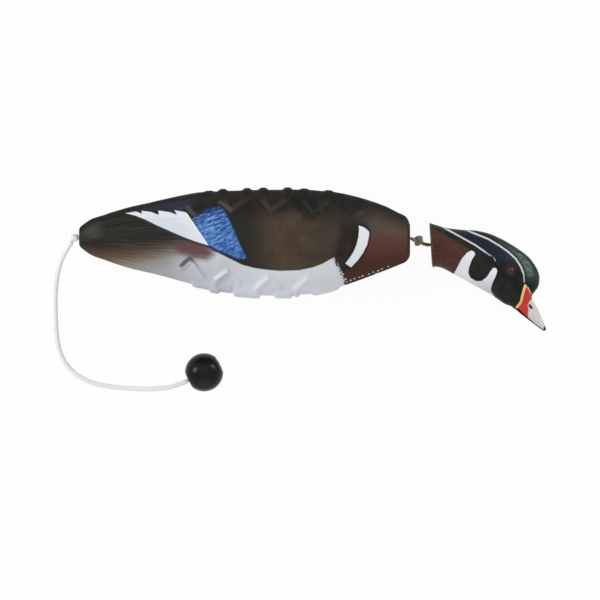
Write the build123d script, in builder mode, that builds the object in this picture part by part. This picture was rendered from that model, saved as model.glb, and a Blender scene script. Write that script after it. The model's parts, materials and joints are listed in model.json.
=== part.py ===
"""A duck retrieving dummy, lying on its left side on the floor.

A soft foam body is moulded round a hard core tube. A hard hollow head hangs on a short knotted
cord at the breast, and a throw cord with a ball leaves the tail. The X axis runs from tail to
head, Y points from belly to back, and Z points up from the floor through the right side. The
origin is on the floor, under the thickest section of the body and under the axis of its core.
"""

import os
from math import cos, pi, radians, sin, sqrt, tan

from build123d import *

# ---------------------------------------------------------------- driving dimensions, millimetres

# Foam body
body_length = 331.0
body_height = 105.3
body_width = 92.0
back_share = 0.465  # of the height, from the core's axis up to the back
thickest_share = 0.583  # of the length, from the tail to the thickest section
tail_round = 2.5
breast_round = 6.5

# Raised grips, V shaped, on both flanks
grip_relief = 2.4
grip_bar_width = 4.6
grip_rise = 11.0  # from a V's tip to where its arms turn upright
back_grip_arms = (-9.0, 16.5)  # where the arms turn, beside the tip
belly_grip_arms = (-12.0, 12.0)
# Each V's tip, along the body and above the core's axis, then where its rear and its front arm
# cross the back or the belly. An arm with no such place stops where it would turn.
back_grips = (
    (-77.0, 22.0, None, -66.0),
    (-41.5, 27.5, -47.5, -25.0),
    (-1.4, 27.5, -7.0, 16.0),
    (40.5, 25.0, 33.0, 56.5),
    (82.0, 21.5, None, None),
)
belly_grips = (
    (-81.3, -23.4, -90.8, -71.8),
    (-44.9, -32.0, -54.4, -35.4),
    (-4.1, -39.0, -13.6, 5.4),
    (35.1, -39.0, 25.6, 44.6),
)
# Raised pads under the belly, each from its rear to its front end
belly_pads = ((-78.0, -56.0), (-38.0, -13.4), (2.0, 21.0), (41.0, 65.0))
pad_relief = 3.6
pad_height = 3.0  # of its edge on the flank, above the deepest part of the belly

# Core of the body
tube_outer = 18.0
tube_wall = 1.7
tube_tail_setback = 34.0
bush_plug_length = 12.0
breast_flange_diameter = 24.0
breast_flange_thickness = 2.5
tail_spout_diameter = 8.6
tail_collar_thickness = 2.0
washer_thickness = 1.5
mouth_round = 0.8

# Head
head_length = 108.0
head_height = 43.2  # of the neck, from nape to throat
head_width = 43.6
head_wall = 2.2
forehead_wall = 3.0
plate_thickness = 2.0
spigot_length = 5.0
spigot_wall = 2.4
peg_diameter = 3.0
peg_length = 4.0
boss_diameter = 7.5
eye_diameter = 7.6
eye_proud = 1.0

# Cords, knots and ball
neck_cord_diameter = 3.5
throw_cord_diameter = 4.8
neck_knot_diameter = 10.0
neck_anchor_knot_diameter = 10.5
head_anchor_knot_diameter = 10.5
tail_knot_diameter = 8.2
tail_anchor_knot_diameter = 12.6
ball_diameter = 38.4
ball_flat_diameter = 14.3
ball_knot_diameter = 11.0
ball_recess_diameter = 12.4
ball_recess_depth = 12.5

# Clearances
moulded_gap = 0.1  # foam round a hard part
seat_gap = 0.1  # hard part in hard part
cord_gap = 0.3  # cord in its hole, and between stretches of cord that turn on each other
floor_gap = 0.1

# How the hard head and the ball lie beside the body
head_ahead = 20.8  # from the breast to the neck plate
head_below = 6.5  # from the core's axis towards the belly
head_nod = 3.6  # degrees
pivot_proud = 1.0  # the neck cord bends this far outside its two holes
neck_knot_share = 0.41  # of the way from the breast to the neck plate
tail_knot_gap = 0.4
knot_flat_share = 0.8  # of a knot's radius, from its middle to where the cord enters
ball_straight_run = 13.8  # the cord points straight at the ball from this far outside it
ball_place = (-68.0, -134.4)
ball_turn = 27.0  # degrees, about the upright, of the hole through the ball
ball_slope = 4.0  # degrees, of that hole above the floor

# Sections of the foam body. Each row holds a share of the length from the tail, then the height
# of the back and the depth of the belly as shares of their largest, and the width as a share.
body_sections = (
    (0.000, 0.214, 0.133, 0.163),
    (0.033, 0.372, 0.272, 0.330),
    (0.076, 0.470, 0.380, 0.446),
    (0.124, 0.592, 0.479, 0.554),
    (0.245, 0.776, 0.657, 0.739),
    (0.366, 0.939, 0.852, 0.891),
    (0.486, 0.986, 0.968, 0.985),
    (0.583, 1.000, 1.000, 1.000),
    (0.728, 0.980, 0.968, 0.957),
    (0.819, 0.878, 0.808, 0.837),
    (0.909, 0.694, 0.613, 0.674),
    (1.000, 0.429, 0.400, 0.478),
)

# Sections of the head from the neck to the forehead, and of the bill from its root to its tip.
# Each row holds the centre ahead of and above the middle of the neck plate as shares of the
# head's length and height, the tilt in degrees, and the height and width as shares.
head_sections = (
    (0.000, 0.000, 0.0, 1.000, 1.000),
    (0.111, -0.088, -9.5, 0.934, 0.965),
    (0.268, -0.222, -19.5, 1.054, 0.950),
    (0.474, -0.444, -25.0, 1.212, 0.950),
    (0.665, -0.737, -30.5, 1.230, 0.900),
    (0.788, -1.010, -37.0, 1.165, 0.800),
    (0.842, -1.222, -48.5, 0.949, 0.680),
    (0.844, -1.356, -54.0, 0.749, 0.560),
    (0.826, -1.463, -55.0, 0.510, 0.400),
)
bill_sections = (
    (0.793, -1.340, -45.0, 0.510, 0.340),
    (0.822, -1.477, -52.0, 0.523, 0.370),
    (0.914, -1.808, -56.0, 0.324, 0.370),
    (0.985, -2.060, -56.5, 0.165, 0.350),
    (1.005, -2.130, -53.0, 0.105, 0.280),
)
head_boss_places = ((0.300, -0.150), (0.640, -0.800))
eye_place = (0.723, -0.720)

# ---------------------------------------------------------------------------- worked-out places

tail_x = -body_length * thickest_share
breast_x = tail_x + body_length
axis_height = body_width / 2
back_height = body_height * back_share
belly_depth = body_height - back_height
tube_inner = tube_outer - 2 * tube_wall
tube_tail_x = tail_x + tube_tail_setback
tube_breast_x = breast_x - breast_flange_thickness
neck_hole = neck_cord_diameter + 2 * cord_gap
throw_hole = throw_cord_diameter + 2 * cord_gap
core_axis = Plane(origin=(0, 0, axis_height), x_dir=(0, 1, 0), z_dir=(1, 0, 0))


def across(x):
    """A plane square to the core's axis, at x."""
    return core_axis.offset(x)


head_plane = Plane(
    origin=(breast_x + head_ahead, -head_below, head_width / 2 + floor_gap),
    x_dir=(cos(radians(head_nod)), sin(radians(head_nod)), 0),
    z_dir=(0, 0, 1),
)


def in_head(ahead, above, aside=0.0):
    """A point given in the head's own frame."""
    return head_plane.from_local_coords(Vector(ahead, above, aside))


def across_head(ahead, above, tilt):
    """A plane square to the head's own middle line, with its x direction towards the nape."""
    forward = in_head(cos(radians(tilt)), sin(radians(tilt))) - head_plane.origin
    nape = in_head(-sin(radians(tilt)), cos(radians(tilt))) - head_plane.origin
    return Plane(origin=in_head(ahead, above), x_dir=nape, z_dir=forward)


breast_pivot = Vector(breast_x + pivot_proud, 0, axis_height)
head_pivot = in_head(-pivot_proud, 0)
neck_line = head_pivot - breast_pivot
neck_direction = neck_line.normalized()
neck_knot_centre = breast_pivot + neck_line * neck_knot_share
tail_knot_centre = Vector(tail_x - tail_knot_gap - tail_knot_diameter / 2, 0.5, axis_height)
ball_centre = Vector(*ball_place, ball_diameter / 2)
ball_direction = Vector(
    cos(radians(ball_turn)) * cos(radians(ball_slope)),
    sin(radians(ball_turn)) * cos(radians(ball_slope)),
    sin(radians(ball_slope)),
)
ball_plane = Plane(origin=ball_centre, z_dir=ball_direction)
ball_flat = sqrt(ball_diameter**2 - ball_flat_diameter**2) / 2
recess_floor = ball_flat - ball_recess_depth


def body_sketches(grow):
    """The body's sections, each grown on every side."""
    for along, back, belly, side in body_sections:
        top = back * back_height + grow
        bottom = belly * belly_depth + grow
        plane = across(tail_x + along * body_length)
        with BuildSketch(plane) as section:
            with Locations(((top - bottom) / 2, 0)):
                Ellipse((top + bottom) / 2, side * body_width / 2 + grow)
        yield section.sketch


def head_sketches(sections, shrink):
    """The sections of the head or the bill, each shrunk on every side."""
    for ahead, above, tilt, tall, wide in sections:
        plane = across_head(ahead * head_length, above * head_height, tilt)
        with BuildSketch(plane) as section:
            Ellipse(tall * head_height / 2 - shrink, wide * head_width / 2 - shrink)
        yield section.sketch


def finish(part, name):
    """Label one piece and write it to its own file."""
    part.label = name
    export_step(part, f"parts/{name}.step")


os.makedirs("parts", exist_ok=True)

# ------------------------------------------------------------------------------------ foam body


def grip_sketch(grip, arms, reach):
    """One V: its tip on the flank, its arms splayed and then upright out to the reach."""
    x, y, rear, front = grip
    turn = y + grip_rise * (1 if reach > 0 else -1)
    bends = [(x + arms[0], turn), (x, y), (x + arms[1], turn)]
    rear_end = [] if rear is None else [(rear, reach)]
    front_end = [] if front is None else [(front, reach)]
    with BuildSketch(Plane.XY) as bars:
        with BuildLine():
            Polyline(*rear_end, *bends, *front_end)
        trace(line_width=grip_bar_width)
        with Locations(*bends):
            Circle(grip_bar_width / 2)
    return bars.sketch


with BuildPart() as grips:
    with BuildSketch(Plane.XY) as grip_bars:
        for grip in back_grips:
            add(grip_sketch(grip, back_grip_arms, body_height))
        for grip in belly_grips:
            add(grip_sketch(grip, belly_grip_arms, -body_height))
    extrude(amount=2 * body_width, both=True)
    grown_body = loft(list(body_sketches(grip_relief)), mode=Mode.PRIVATE)
    add(grown_body, mode=Mode.INTERSECT)

with BuildPart() as pads:
    with BuildSketch(Plane.XY) as pad_outlines:
        for rear, front in belly_pads:
            with Locations(((rear + front) / 2, -belly_depth)):
                Rectangle(front - rear, 2 * pad_height)
    extrude(amount=2 * body_width, both=True)
    padded_body = loft(list(body_sketches(pad_relief)), mode=Mode.PRIVATE)
    add(padded_body, mode=Mode.INTERSECT)

with BuildPart() as foam_body:
    loft(list(body_sketches(0)))
    fillet(foam_body.edges().sort_by(Axis.X)[-1], breast_round)
    fillet(foam_body.edges().sort_by(Axis.X)[0], tail_round)
    add(grips.part)
    add(pads.part)
    with BuildSketch(across(tail_x)):
        Circle(tail_spout_diameter / 2 + moulded_gap)
    extrude(amount=body_length, mode=Mode.SUBTRACT)
    with BuildSketch(across(tube_tail_x - tail_collar_thickness - moulded_gap)):
        Circle(tube_outer / 2 + moulded_gap)
    extrude(amount=body_length, mode=Mode.SUBTRACT)
    with BuildSketch(across(tube_breast_x - moulded_gap)):
        Circle(breast_flange_diameter / 2 + moulded_gap)
    extrude(amount=body_length, mode=Mode.SUBTRACT)
finish(foam_body.part, "foam_body")

# ----------------------------------------------------------------------------- core of the body


def add_disc(plane, radius, length, mode=Mode.ADD):
    """A round disc or rod on a plane, added to the part being built or cut from it."""
    with BuildSketch(plane) as disc:
        Circle(radius)
    extrude(disc.sketch, amount=length, mode=mode)


def knot_part(plane, diameter, flats):
    """A ball of knotted cord, flat where the cord enters along the plane's direction."""
    height = knot_flat_share * diameter / 2
    with BuildPart(plane) as knot:
        Sphere(diameter / 2)
        split(bisect_by=plane.offset(height), keep=Keep.BOTTOM)
        if flats == 2:
            split(bisect_by=plane.offset(-height), keep=Keep.TOP)
    return knot.part


with BuildPart() as core_tube:
    tube_length = tube_breast_x - tube_tail_x
    add_disc(across(tube_tail_x), tube_outer / 2, tube_length)
    add_disc(across(tube_tail_x), tube_inner / 2, tube_length, Mode.SUBTRACT)
finish(core_tube.part, "core_tube")

plug_radius = tube_inner / 2 - seat_gap

with BuildPart() as breast_bush:
    add_disc(across(tube_breast_x), breast_flange_diameter / 2, breast_flange_thickness)
    add_disc(across(tube_breast_x - bush_plug_length), plug_radius, bush_plug_length)
    bush_length = bush_plug_length + breast_flange_thickness
    plug_face = across(tube_breast_x - bush_plug_length)
    add_disc(plug_face, neck_hole / 2, bush_length, Mode.SUBTRACT)
    mouth = breast_bush.edges().filter_by(GeomType.CIRCLE).group_by(Axis.X)[-1]
    fillet(mouth.sort_by(SortBy.RADIUS)[0], mouth_round)
finish(breast_bush.part, "breast_bush")

breast_washer_x = tube_breast_x - bush_plug_length - seat_gap - washer_thickness
with BuildPart() as breast_washer:
    add_disc(across(breast_washer_x), plug_radius - seat_gap, washer_thickness)
    add_disc(across(breast_washer_x), neck_hole / 2, washer_thickness, Mode.SUBTRACT)
finish(breast_washer.part, "breast_washer")

breast_knot_reach = knot_flat_share * neck_anchor_knot_diameter / 2
breast_knot_x = breast_washer_x - seat_gap - breast_knot_reach
breast_anchor_knot = knot_part(across(breast_knot_x), neck_anchor_knot_diameter, 2)
finish(breast_anchor_knot, "breast_anchor_knot")

with BuildPart() as neck_cord_root:
    root_start = breast_knot_x + breast_knot_reach
    add_disc(across(root_start), neck_cord_diameter / 2, breast_pivot.X - root_start)
    with Locations(breast_pivot):
        Sphere(neck_cord_diameter / 2)
finish(neck_cord_root.part, "neck_cord_root")

with BuildPart() as tail_bush:
    add_disc(across(tail_x), tail_spout_diameter / 2, tube_tail_setback)
    collar = across(tube_tail_x - tail_collar_thickness)
    add_disc(collar, tube_outer / 2, tail_collar_thickness)
    add_disc(across(tube_tail_x), plug_radius, bush_plug_length)
    add_disc(across(tail_x), throw_hole / 2, body_length, Mode.SUBTRACT)
finish(tail_bush.part, "tail_bush")

tail_washer_x = tube_tail_x + bush_plug_length + seat_gap
with BuildPart() as tail_washer:
    add_disc(across(tail_washer_x), plug_radius - seat_gap, washer_thickness)
    add_disc(across(tail_washer_x), throw_hole / 2, washer_thickness, Mode.SUBTRACT)
finish(tail_washer.part, "tail_washer")

tail_knot_reach = knot_flat_share * tail_anchor_knot_diameter / 2
tail_anchor_x = tail_washer_x + washer_thickness + seat_gap + tail_knot_reach
tail_anchor_knot = knot_part(across(tail_anchor_x), tail_anchor_knot_diameter, 2)
finish(tail_anchor_knot, "tail_anchor_knot")

with BuildPart() as tail_cord_root:
    root_length = tail_anchor_x - tail_knot_reach - tail_x
    add_disc(across(tail_x), throw_cord_diameter / 2, root_length)
finish(tail_cord_root.part, "tail_cord_root")

# ------------------------------------------------------------------------------------- neck cord

bend_clearance = neck_cord_diameter / 2 + cord_gap
neck_plane = Plane(origin=neck_knot_centre, z_dir=neck_direction)
neck_knot = knot_part(neck_plane, neck_knot_diameter, 1)
finish(neck_knot, "neck_knot")

with BuildPart() as neck_cord_rear:
    rear_start = breast_pivot + neck_direction * bend_clearance
    rear_end = neck_knot_centre - neck_direction * (neck_knot_diameter / 2 + cord_gap)
    rear_plane = Plane(origin=rear_start, z_dir=neck_direction)
    add_disc(rear_plane, neck_cord_diameter / 2, (rear_end - rear_start).length)
finish(neck_cord_rear.part, "neck_cord_rear")

with BuildPart() as neck_cord_front:
    front_start = neck_knot_centre + neck_direction * (knot_flat_share * neck_knot_diameter / 2)
    front_end = head_pivot - neck_direction * bend_clearance
    front_plane = Plane(origin=front_start, z_dir=neck_direction)
    add_disc(front_plane, neck_cord_diameter / 2, (front_end - front_start).length)
finish(neck_cord_front.part, "neck_cord_front")

# ------------------------------------------------------------------------------------------ head


def across_neck(ahead):
    """A plane square to the neck plate's axis."""
    return across_head(ahead, 0, 0)


head_washer_place = plate_thickness + seat_gap
with BuildPart() as head_washer:
    washer_plane = across_neck(head_washer_place)
    add_disc(washer_plane, head_anchor_knot_diameter / 2, washer_thickness)
    add_disc(washer_plane, neck_hole / 2, washer_thickness, Mode.SUBTRACT)
finish(head_washer.part, "head_washer")

head_knot_reach = knot_flat_share * head_anchor_knot_diameter / 2
head_knot_place = head_washer_place + washer_thickness + seat_gap + head_knot_reach
head_anchor_knot = knot_part(across_neck(head_knot_place), head_anchor_knot_diameter, 2)
finish(head_anchor_knot, "head_anchor_knot")

with BuildPart() as head_cord_end:
    end_length = head_knot_place - head_knot_reach + pivot_proud
    add_disc(across_neck(-pivot_proud), neck_cord_diameter / 2, end_length)
    with Locations(head_pivot):
        Sphere(neck_cord_diameter / 2)
finish(head_cord_end.part, "head_cord_end")

with BuildPart() as spigot:
    loft(list(head_sketches(head_sections, head_wall + seat_gap)))
    spigot_bore = list(head_sketches(head_sections, head_wall + seat_gap + spigot_wall))
    add(loft(spigot_bore, mode=Mode.PRIVATE), mode=Mode.SUBTRACT)
    split(bisect_by=across_neck(plate_thickness), keep=Keep.TOP)
    split(bisect_by=across_neck(plate_thickness + spigot_length), keep=Keep.BOTTOM)

with BuildPart() as neck_plate:
    loft(list(head_sketches(head_sections, 0)))
    split(bisect_by=across_neck(plate_thickness), keep=Keep.BOTTOM)
    add(spigot.part)
    add_disc(across_neck(0), neck_hole / 2, plate_thickness, Mode.SUBTRACT)
finish(neck_plate.part, "neck_plate")

with BuildPart() as head_bosses:
    for ahead, above in head_boss_places:
        middle = in_head(ahead * head_length, above * head_height)
        with Locations(middle):
            Cylinder(boss_diameter / 2, 2 * head_width)
    outer_head = loft(list(head_sketches(head_sections, 0)), mode=Mode.PRIVATE)
    add(outer_head, mode=Mode.INTERSECT)

with BuildPart() as eyes:
    with Locations(in_head(eye_place[0] * head_length, eye_place[1] * head_height)):
        Cylinder(eye_diameter / 2, 2 * head_width)
    grown_head = loft(list(head_sketches(head_sections, -eye_proud)), mode=Mode.PRIVATE)
    add(grown_head, mode=Mode.INTERSECT)

forehead_x, forehead_y, forehead_tilt, _, _ = head_sections[-1]
forehead = across_head(forehead_x * head_length, forehead_y * head_height, forehead_tilt)

with BuildPart() as head_hollow:
    loft(list(head_sketches(head_sections, head_wall)))
    split(bisect_by=forehead.offset(-forehead_wall), keep=Keep.BOTTOM)

with BuildPart() as head_form:
    loft(list(head_sketches(head_sections, 0)))
    bill = loft(list(head_sketches(bill_sections, 0)), mode=Mode.PRIVATE)
    add(bill)
    add(eyes.part)
    add(head_hollow.part, mode=Mode.SUBTRACT)
    add(head_bosses.part)
    split(bisect_by=across_neck(plate_thickness), keep=Keep.TOP)

pegs = [in_head(x * head_length, y * head_height) for x, y in head_boss_places]

with BuildPart() as head_shell_right:
    add(head_form.part)
    split(bisect_by=head_plane, keep=Keep.TOP)
    with Locations(*pegs):
        Cylinder(peg_diameter / 2 + seat_gap, 2 * (peg_length + seat_gap), mode=Mode.SUBTRACT)
finish(head_shell_right.part, "head_shell_right")

with BuildPart() as head_shell_left:
    add(head_form.part)
    split(bisect_by=head_plane, keep=Keep.BOTTOM)
    with Locations(*pegs):
        Cylinder(peg_diameter / 2, 2 * peg_length)
finish(head_shell_left.part, "head_shell_left")

# --------------------------------------------------------------------- throw cord, knot and ball

with BuildPart() as tail_knot:
    with Locations(tail_knot_centre):
        Sphere(tail_knot_diameter / 2)
finish(tail_knot.part, "tail_knot")

with BuildPart(ball_plane) as throw_ball:
    Sphere(ball_diameter / 2)
    split(bisect_by=ball_plane.offset(ball_flat), keep=Keep.BOTTOM)
    split(bisect_by=ball_plane.offset(-ball_flat), keep=Keep.TOP)
    add_disc(ball_plane.offset(-ball_flat), throw_hole / 2, 2 * ball_flat, Mode.SUBTRACT)
    recess_plane = ball_plane.offset(recess_floor)
    add_disc(recess_plane, ball_recess_diameter / 2, ball_recess_depth, Mode.SUBTRACT)
finish(throw_ball.part, "throw_ball")

stop_knot_reach = knot_flat_share * ball_knot_diameter / 2
stop_knot_place = recess_floor + seat_gap + stop_knot_reach
ball_stop_knot = knot_part(ball_plane.offset(stop_knot_place), ball_knot_diameter, 2)
finish(ball_stop_knot, "ball_stop_knot")

with BuildPart() as ball_cord_end:
    strand_length = stop_knot_place - stop_knot_reach + ball_flat
    add_disc(ball_plane.offset(-ball_flat), throw_cord_diameter / 2, strand_length)
finish(ball_cord_end.part, "ball_cord_end")

cord_start_direction = Vector(-0.55, -0.80, -0.25).normalized()
cord_start = tail_knot_centre + cord_start_direction * (tail_knot_diameter / 2 + cord_gap)
cord_end = ball_centre - ball_direction * ball_flat
cord_route = [
    cord_start,
    Vector(-208.3, -15.5, 39.0),
    Vector(-214.5, -33.0, 28.0),
    Vector(-217.3, -54.5, 15.5),
    Vector(-217.0, -77.5, 6.5),
    Vector(-216.0, -100.0, 3.5),
    Vector(-211.4, -119.8, 3.3),
    Vector(-200.2, -134.3, 3.3),
    Vector(-184.3, -144.0, 3.3),
    Vector(-166.0, -148.5, 3.8),
    Vector(-145.0, -150.5, 6.5),
    Vector(-121.0, -151.6, 12.0),
    cord_end - ball_direction * ball_straight_run,
    cord_end,
]


def bend_radii(route):
    """For each corner of a route, as large an arc as its two runs allow."""
    radii = []
    for before, corner, after in zip(route, route[1:], route[2:]):
        run_in = corner - before
        run_out = after - corner
        half_turn = radians(run_in.get_angle(run_out)) / 2
        radii.append(0.45 * min(run_in.length, run_out.length) / tan(half_turn))
    return radii


cord_radii = bend_radii(cord_route)
with BuildPart() as throw_cord:
    with BuildLine() as cord_line:
        cord_path = FilletPolyline(*cord_route, radius=cord_radii)
    with BuildSketch(Plane(origin=cord_path @ 0, z_dir=cord_path % 0)):
        Circle(throw_cord_diameter / 2)
    sweep(path=cord_path)
finish(throw_cord.part, "throw_cord")

section_area = pi * throw_cord_diameter**2 / 4
print("cord bend radii:", [round(radius, 1) for radius in cord_radii])
print("cord length:", round(cord_path.length, 1))
volume_ratio = throw_cord.part.volume / (cord_path.length * section_area)
print("cord volume over section times length:", round(volume_ratio, 4))
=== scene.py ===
# %% [markdown]
# # A duck retrieving dummy
# A retrieving dummy teaches a young dog to carry a bird softly. It has a foam body moulded over a
# hard tube, a hollow hard head that flops on a short cord, and a throw cord with a ball.
# The measured parts come ready made as the frame. This lesson dresses them: it models the soft and
# painted pieces again in fine mesh, and paints them as a drake wood duck.
# The whole duck lies on its left side on the floor, with its tail towards -X and its back
# towards +Y.

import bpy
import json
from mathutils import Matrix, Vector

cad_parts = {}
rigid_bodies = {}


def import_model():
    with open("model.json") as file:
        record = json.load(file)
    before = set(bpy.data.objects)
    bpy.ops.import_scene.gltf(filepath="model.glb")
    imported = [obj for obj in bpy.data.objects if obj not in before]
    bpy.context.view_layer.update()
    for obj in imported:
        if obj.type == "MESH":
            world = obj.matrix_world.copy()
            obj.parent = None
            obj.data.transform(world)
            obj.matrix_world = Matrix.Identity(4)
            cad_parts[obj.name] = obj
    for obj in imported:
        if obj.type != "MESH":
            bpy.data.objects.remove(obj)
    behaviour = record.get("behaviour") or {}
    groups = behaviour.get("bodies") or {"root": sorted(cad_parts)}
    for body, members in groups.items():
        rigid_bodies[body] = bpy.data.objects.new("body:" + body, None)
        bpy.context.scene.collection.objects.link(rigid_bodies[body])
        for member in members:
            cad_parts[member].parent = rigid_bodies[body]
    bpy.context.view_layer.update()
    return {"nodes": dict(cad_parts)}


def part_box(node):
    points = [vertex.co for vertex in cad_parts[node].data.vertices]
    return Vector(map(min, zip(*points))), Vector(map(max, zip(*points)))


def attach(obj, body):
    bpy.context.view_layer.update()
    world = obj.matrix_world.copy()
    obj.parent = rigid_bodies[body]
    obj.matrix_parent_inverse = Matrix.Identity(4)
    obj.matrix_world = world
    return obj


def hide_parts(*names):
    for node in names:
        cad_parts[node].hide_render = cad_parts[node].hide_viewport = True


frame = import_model()

# %% [markdown]
# Points are easier to write in millimetres, because that is how the duck was drawn. Blender counts
# in metres, so each mesh is scaled once, when it is made.
# The body's ends come from the frame. The other numbers repeat the drawing: how high the core's
# axis runs, how big body and head are, and where the head and the ball lie.

# %% Shared places
import json
import math

import bmesh
import bpy
import numpy as np
from mathutils import Vector

MM = 0.001
tail_x, breast_x = (round(float(corner[0]) / MM, 3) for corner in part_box("foam_body"))
back_height, belly_depth, body_half_width = 48.965, 56.336, 46.0
core_height = body_half_width
head_length, head_height, head_width = 108.0, 43.2, 43.6
head_start = np.array([breast_x + 20.8, -6.5, head_width / 2 + 0.1])
head_nod = math.radians(3.6)
head_ahead = np.array([math.cos(head_nod), math.sin(head_nod), 0.0])
head_up = np.array([-math.sin(head_nod), math.cos(head_nod), 0.0])
head_side = np.array([0.0, 0.0, 1.0])
ball_radius = 19.2
ball_centre = np.array([-68.0, -134.4, ball_radius])
ball_turn, ball_slope = math.radians(27.0), math.radians(4.0)
ball_along = np.array([math.cos(ball_turn) * math.cos(ball_slope),
                       math.sin(ball_turn) * math.cos(ball_slope), math.sin(ball_slope)])
print("body from", tail_x, "to", breast_x, "mm; head starts at", head_start)

# %% [markdown]
# The camera hangs far above the duck with a long lens, so that nothing leans away from it.

# %% Camera
long_lens = bpy.data.cameras.new("overhead_camera")
long_lens.lens = 1200
long_lens.sensor_width = 36
long_lens.clip_end = 40
overhead_camera = bpy.data.objects.new("overhead_camera", long_lens)
overhead_camera.location = (0.028, -0.062, 20.046)
bpy.context.scene.collection.objects.link(overhead_camera)
bpy.context.scene.camera = overhead_camera
bpy.context.scene.view_settings.view_transform = "Standard"
print("camera", tuple(round(v, 3) for v in overhead_camera.location))

# %% [markdown]
# ## Shaping helpers
# Almost every piece here is a skin over a row of rings, as a boat's hull is over its ribs. One
# helper skins rings. Another finds smooth values between the rows of a table, with a curve that
# passes through every row.


# %% Skin rings and follow tables
def skin_rings(name, rings, join_ends=False, caps=(False, False)):
    """A mesh over rings of points in millimetres, closed round each ring."""
    rings = np.asarray(rings, float)
    count, around = rings.shape[:2]
    points = list(rings.reshape(-1, 3) * MM)
    faces = []
    for i in range(count if join_ends else count - 1):
        a, b = i * around, (i + 1) % count * around
        for j in range(around):
            k = (j + 1) % around
            faces.append((a + j, b + j, b + k, a + k))
    for end, capped in zip((0, count - 1), caps):
        if capped:
            middle = len(points)
            points.append(rings[end].mean(0) * MM)
            for j in range(around):
                edge = (end * around + (j + 1) % around, end * around + j, middle)
                faces.append(edge if end else edge[::-1])
    mesh = bpy.data.meshes.new(name)
    mesh.from_pydata(points, [], faces)
    mesh.validate()
    mesh.shade_smooth()
    piece = bpy.data.objects.new(name, mesh)
    bpy.context.scene.collection.objects.link(piece)
    turn_faces_out(mesh)
    return piece


def turn_faces_out(mesh):
    """Make every face of a closed mesh look outwards."""
    work = bmesh.new()
    work.from_mesh(mesh)
    bmesh.ops.recalc_face_normals(work, faces=work.faces)
    work.to_mesh(mesh)
    work.free()


def points_of(piece):
    """A piece's points, in millimetres."""
    return np.array([v.co for v in piece.data.vertices]) / MM


def facing_out(rings):
    """Which way a skin over rings of points faces, at each of its points."""
    turn = np.roll(rings, -1, 1) - np.roll(rings, 1, 1)
    outward = np.cross(turn, np.gradient(rings, axis=0))
    outward /= np.maximum(1e-9, np.linalg.norm(outward, axis=2))[:, :, None]
    half_way = len(rings) // 2
    from_middle = rings[half_way] - rings[half_way].mean(0)
    return outward if (from_middle * outward[half_way]).sum() > 0 else -outward


def unit(direction):
    return direction / np.linalg.norm(direction)


def square_to(along, near=(0.2, 0.1, 1.0)):
    """Two directions square to a third and to each other."""
    aside = unit(np.cross(along, near))
    return aside, np.cross(along, aside)


def round_about(aside, above, count):
    """Directions all round, between two that are square to each other."""
    angles = np.arange(count) / count * 2 * math.pi
    return np.cos(angles)[:, None] * aside + np.sin(angles)[:, None] * above


def follow(rows, places):
    """Smooth values at the places, through rows whose first number is their place."""
    rows, places = np.array(rows, float), np.asarray(places, float)
    x, y = rows[:, 0], rows[:, 1:]
    slope = np.gradient(y, x, axis=0)
    i = np.clip(np.searchsorted(x, places, side="right") - 1, 0, len(x) - 2)
    step = (x[i + 1] - x[i])[:, None]
    t = (places - x[i])[:, None] / step
    start = (2 * t**3 - 3 * t**2 + 1) * y[i] + (t**3 - 2 * t**2 + t) * step * slope[i]
    return start + (3 * t**2 - 2 * t**3) * y[i + 1] + (t**3 - t**2) * step * slope[i + 1]


def ease(value, low, high):
    """From 0 at low to 1 at high, with no corner at either end."""
    t = np.clip((np.asarray(value, float) - low) / (high - low), 0, 1)
    return t * t * (3 - 2 * t)


def band(value, start, full, last, end):
    """From 0 at start to 1 at full, and from 1 at last back to 0 at end."""
    return ease(value, start, full) * (1 - ease(value, last, end))


print("skinning helpers ready")

# %% [markdown]
# ## Masking helpers
# A painter lays masking tape along a line and sprays up to it. Here the tape is a signed distance:
# for each point of the mesh, how many millimetres it lies inside an outline drawn in side view.
# The number is kept in the mesh, and the paint is cut sharp or soft later, in the material. That
# gives cleaner edges than painting each corner of the mesh.


# %% Distances to taped lines
def from_line(points, line):
    """How far each point is from a line of corners, in side view."""
    points = np.asarray(points, float)[:, :2]
    nearest = np.full(len(points), 1e9)
    for a, b in zip(np.array(line, float), np.array(line[1:], float)):
        along = b - a
        t = np.clip((points - a) @ along / max(along @ along, 1e-9), 0, 1)
        nearest = np.minimum(nearest, np.linalg.norm(points - a - t[:, None] * along, axis=1))
    return nearest


def inside_shape(points, corners):
    """How far each point is inside a taped shape, and less than nothing outside it."""
    points = np.asarray(points, float)[:, :2]
    inside = np.zeros(len(points), bool)
    closed = list(corners) + [corners[0]]
    for (x0, y0), (x1, y1) in zip(closed, closed[1:]):
        crosses = (points[:, 1] < y0) != (points[:, 1] < y1)
        rise = y1 - y0 if y1 != y0 else 1e-9
        inside ^= crosses & (points[:, 0] < x0 + (points[:, 1] - y0) * (x1 - x0) / rise)
    return np.where(inside, 1, -1) * from_line(points, closed)


def tape(piece, name, values):
    """Keep one number for each point of a piece, for its paint to read."""
    layer = piece.data.attributes.new(name, "FLOAT", "POINT")
    layer.data.foreach_set("value", np.asarray(values, np.float32))


print("masking helpers ready")

# %% [markdown]
# ## The throw cord
# The throw cord is a white braided nylon cord, 4.8 mm thick. It leaves the tail through a knot,
# drops to the floor, and swings round to the ball, 270 mm in all. Its line is a smooth NURBS
# spline, in metres, through the air and along the floor. The braid is real relief on a tube that
# follows that spline.

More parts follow.
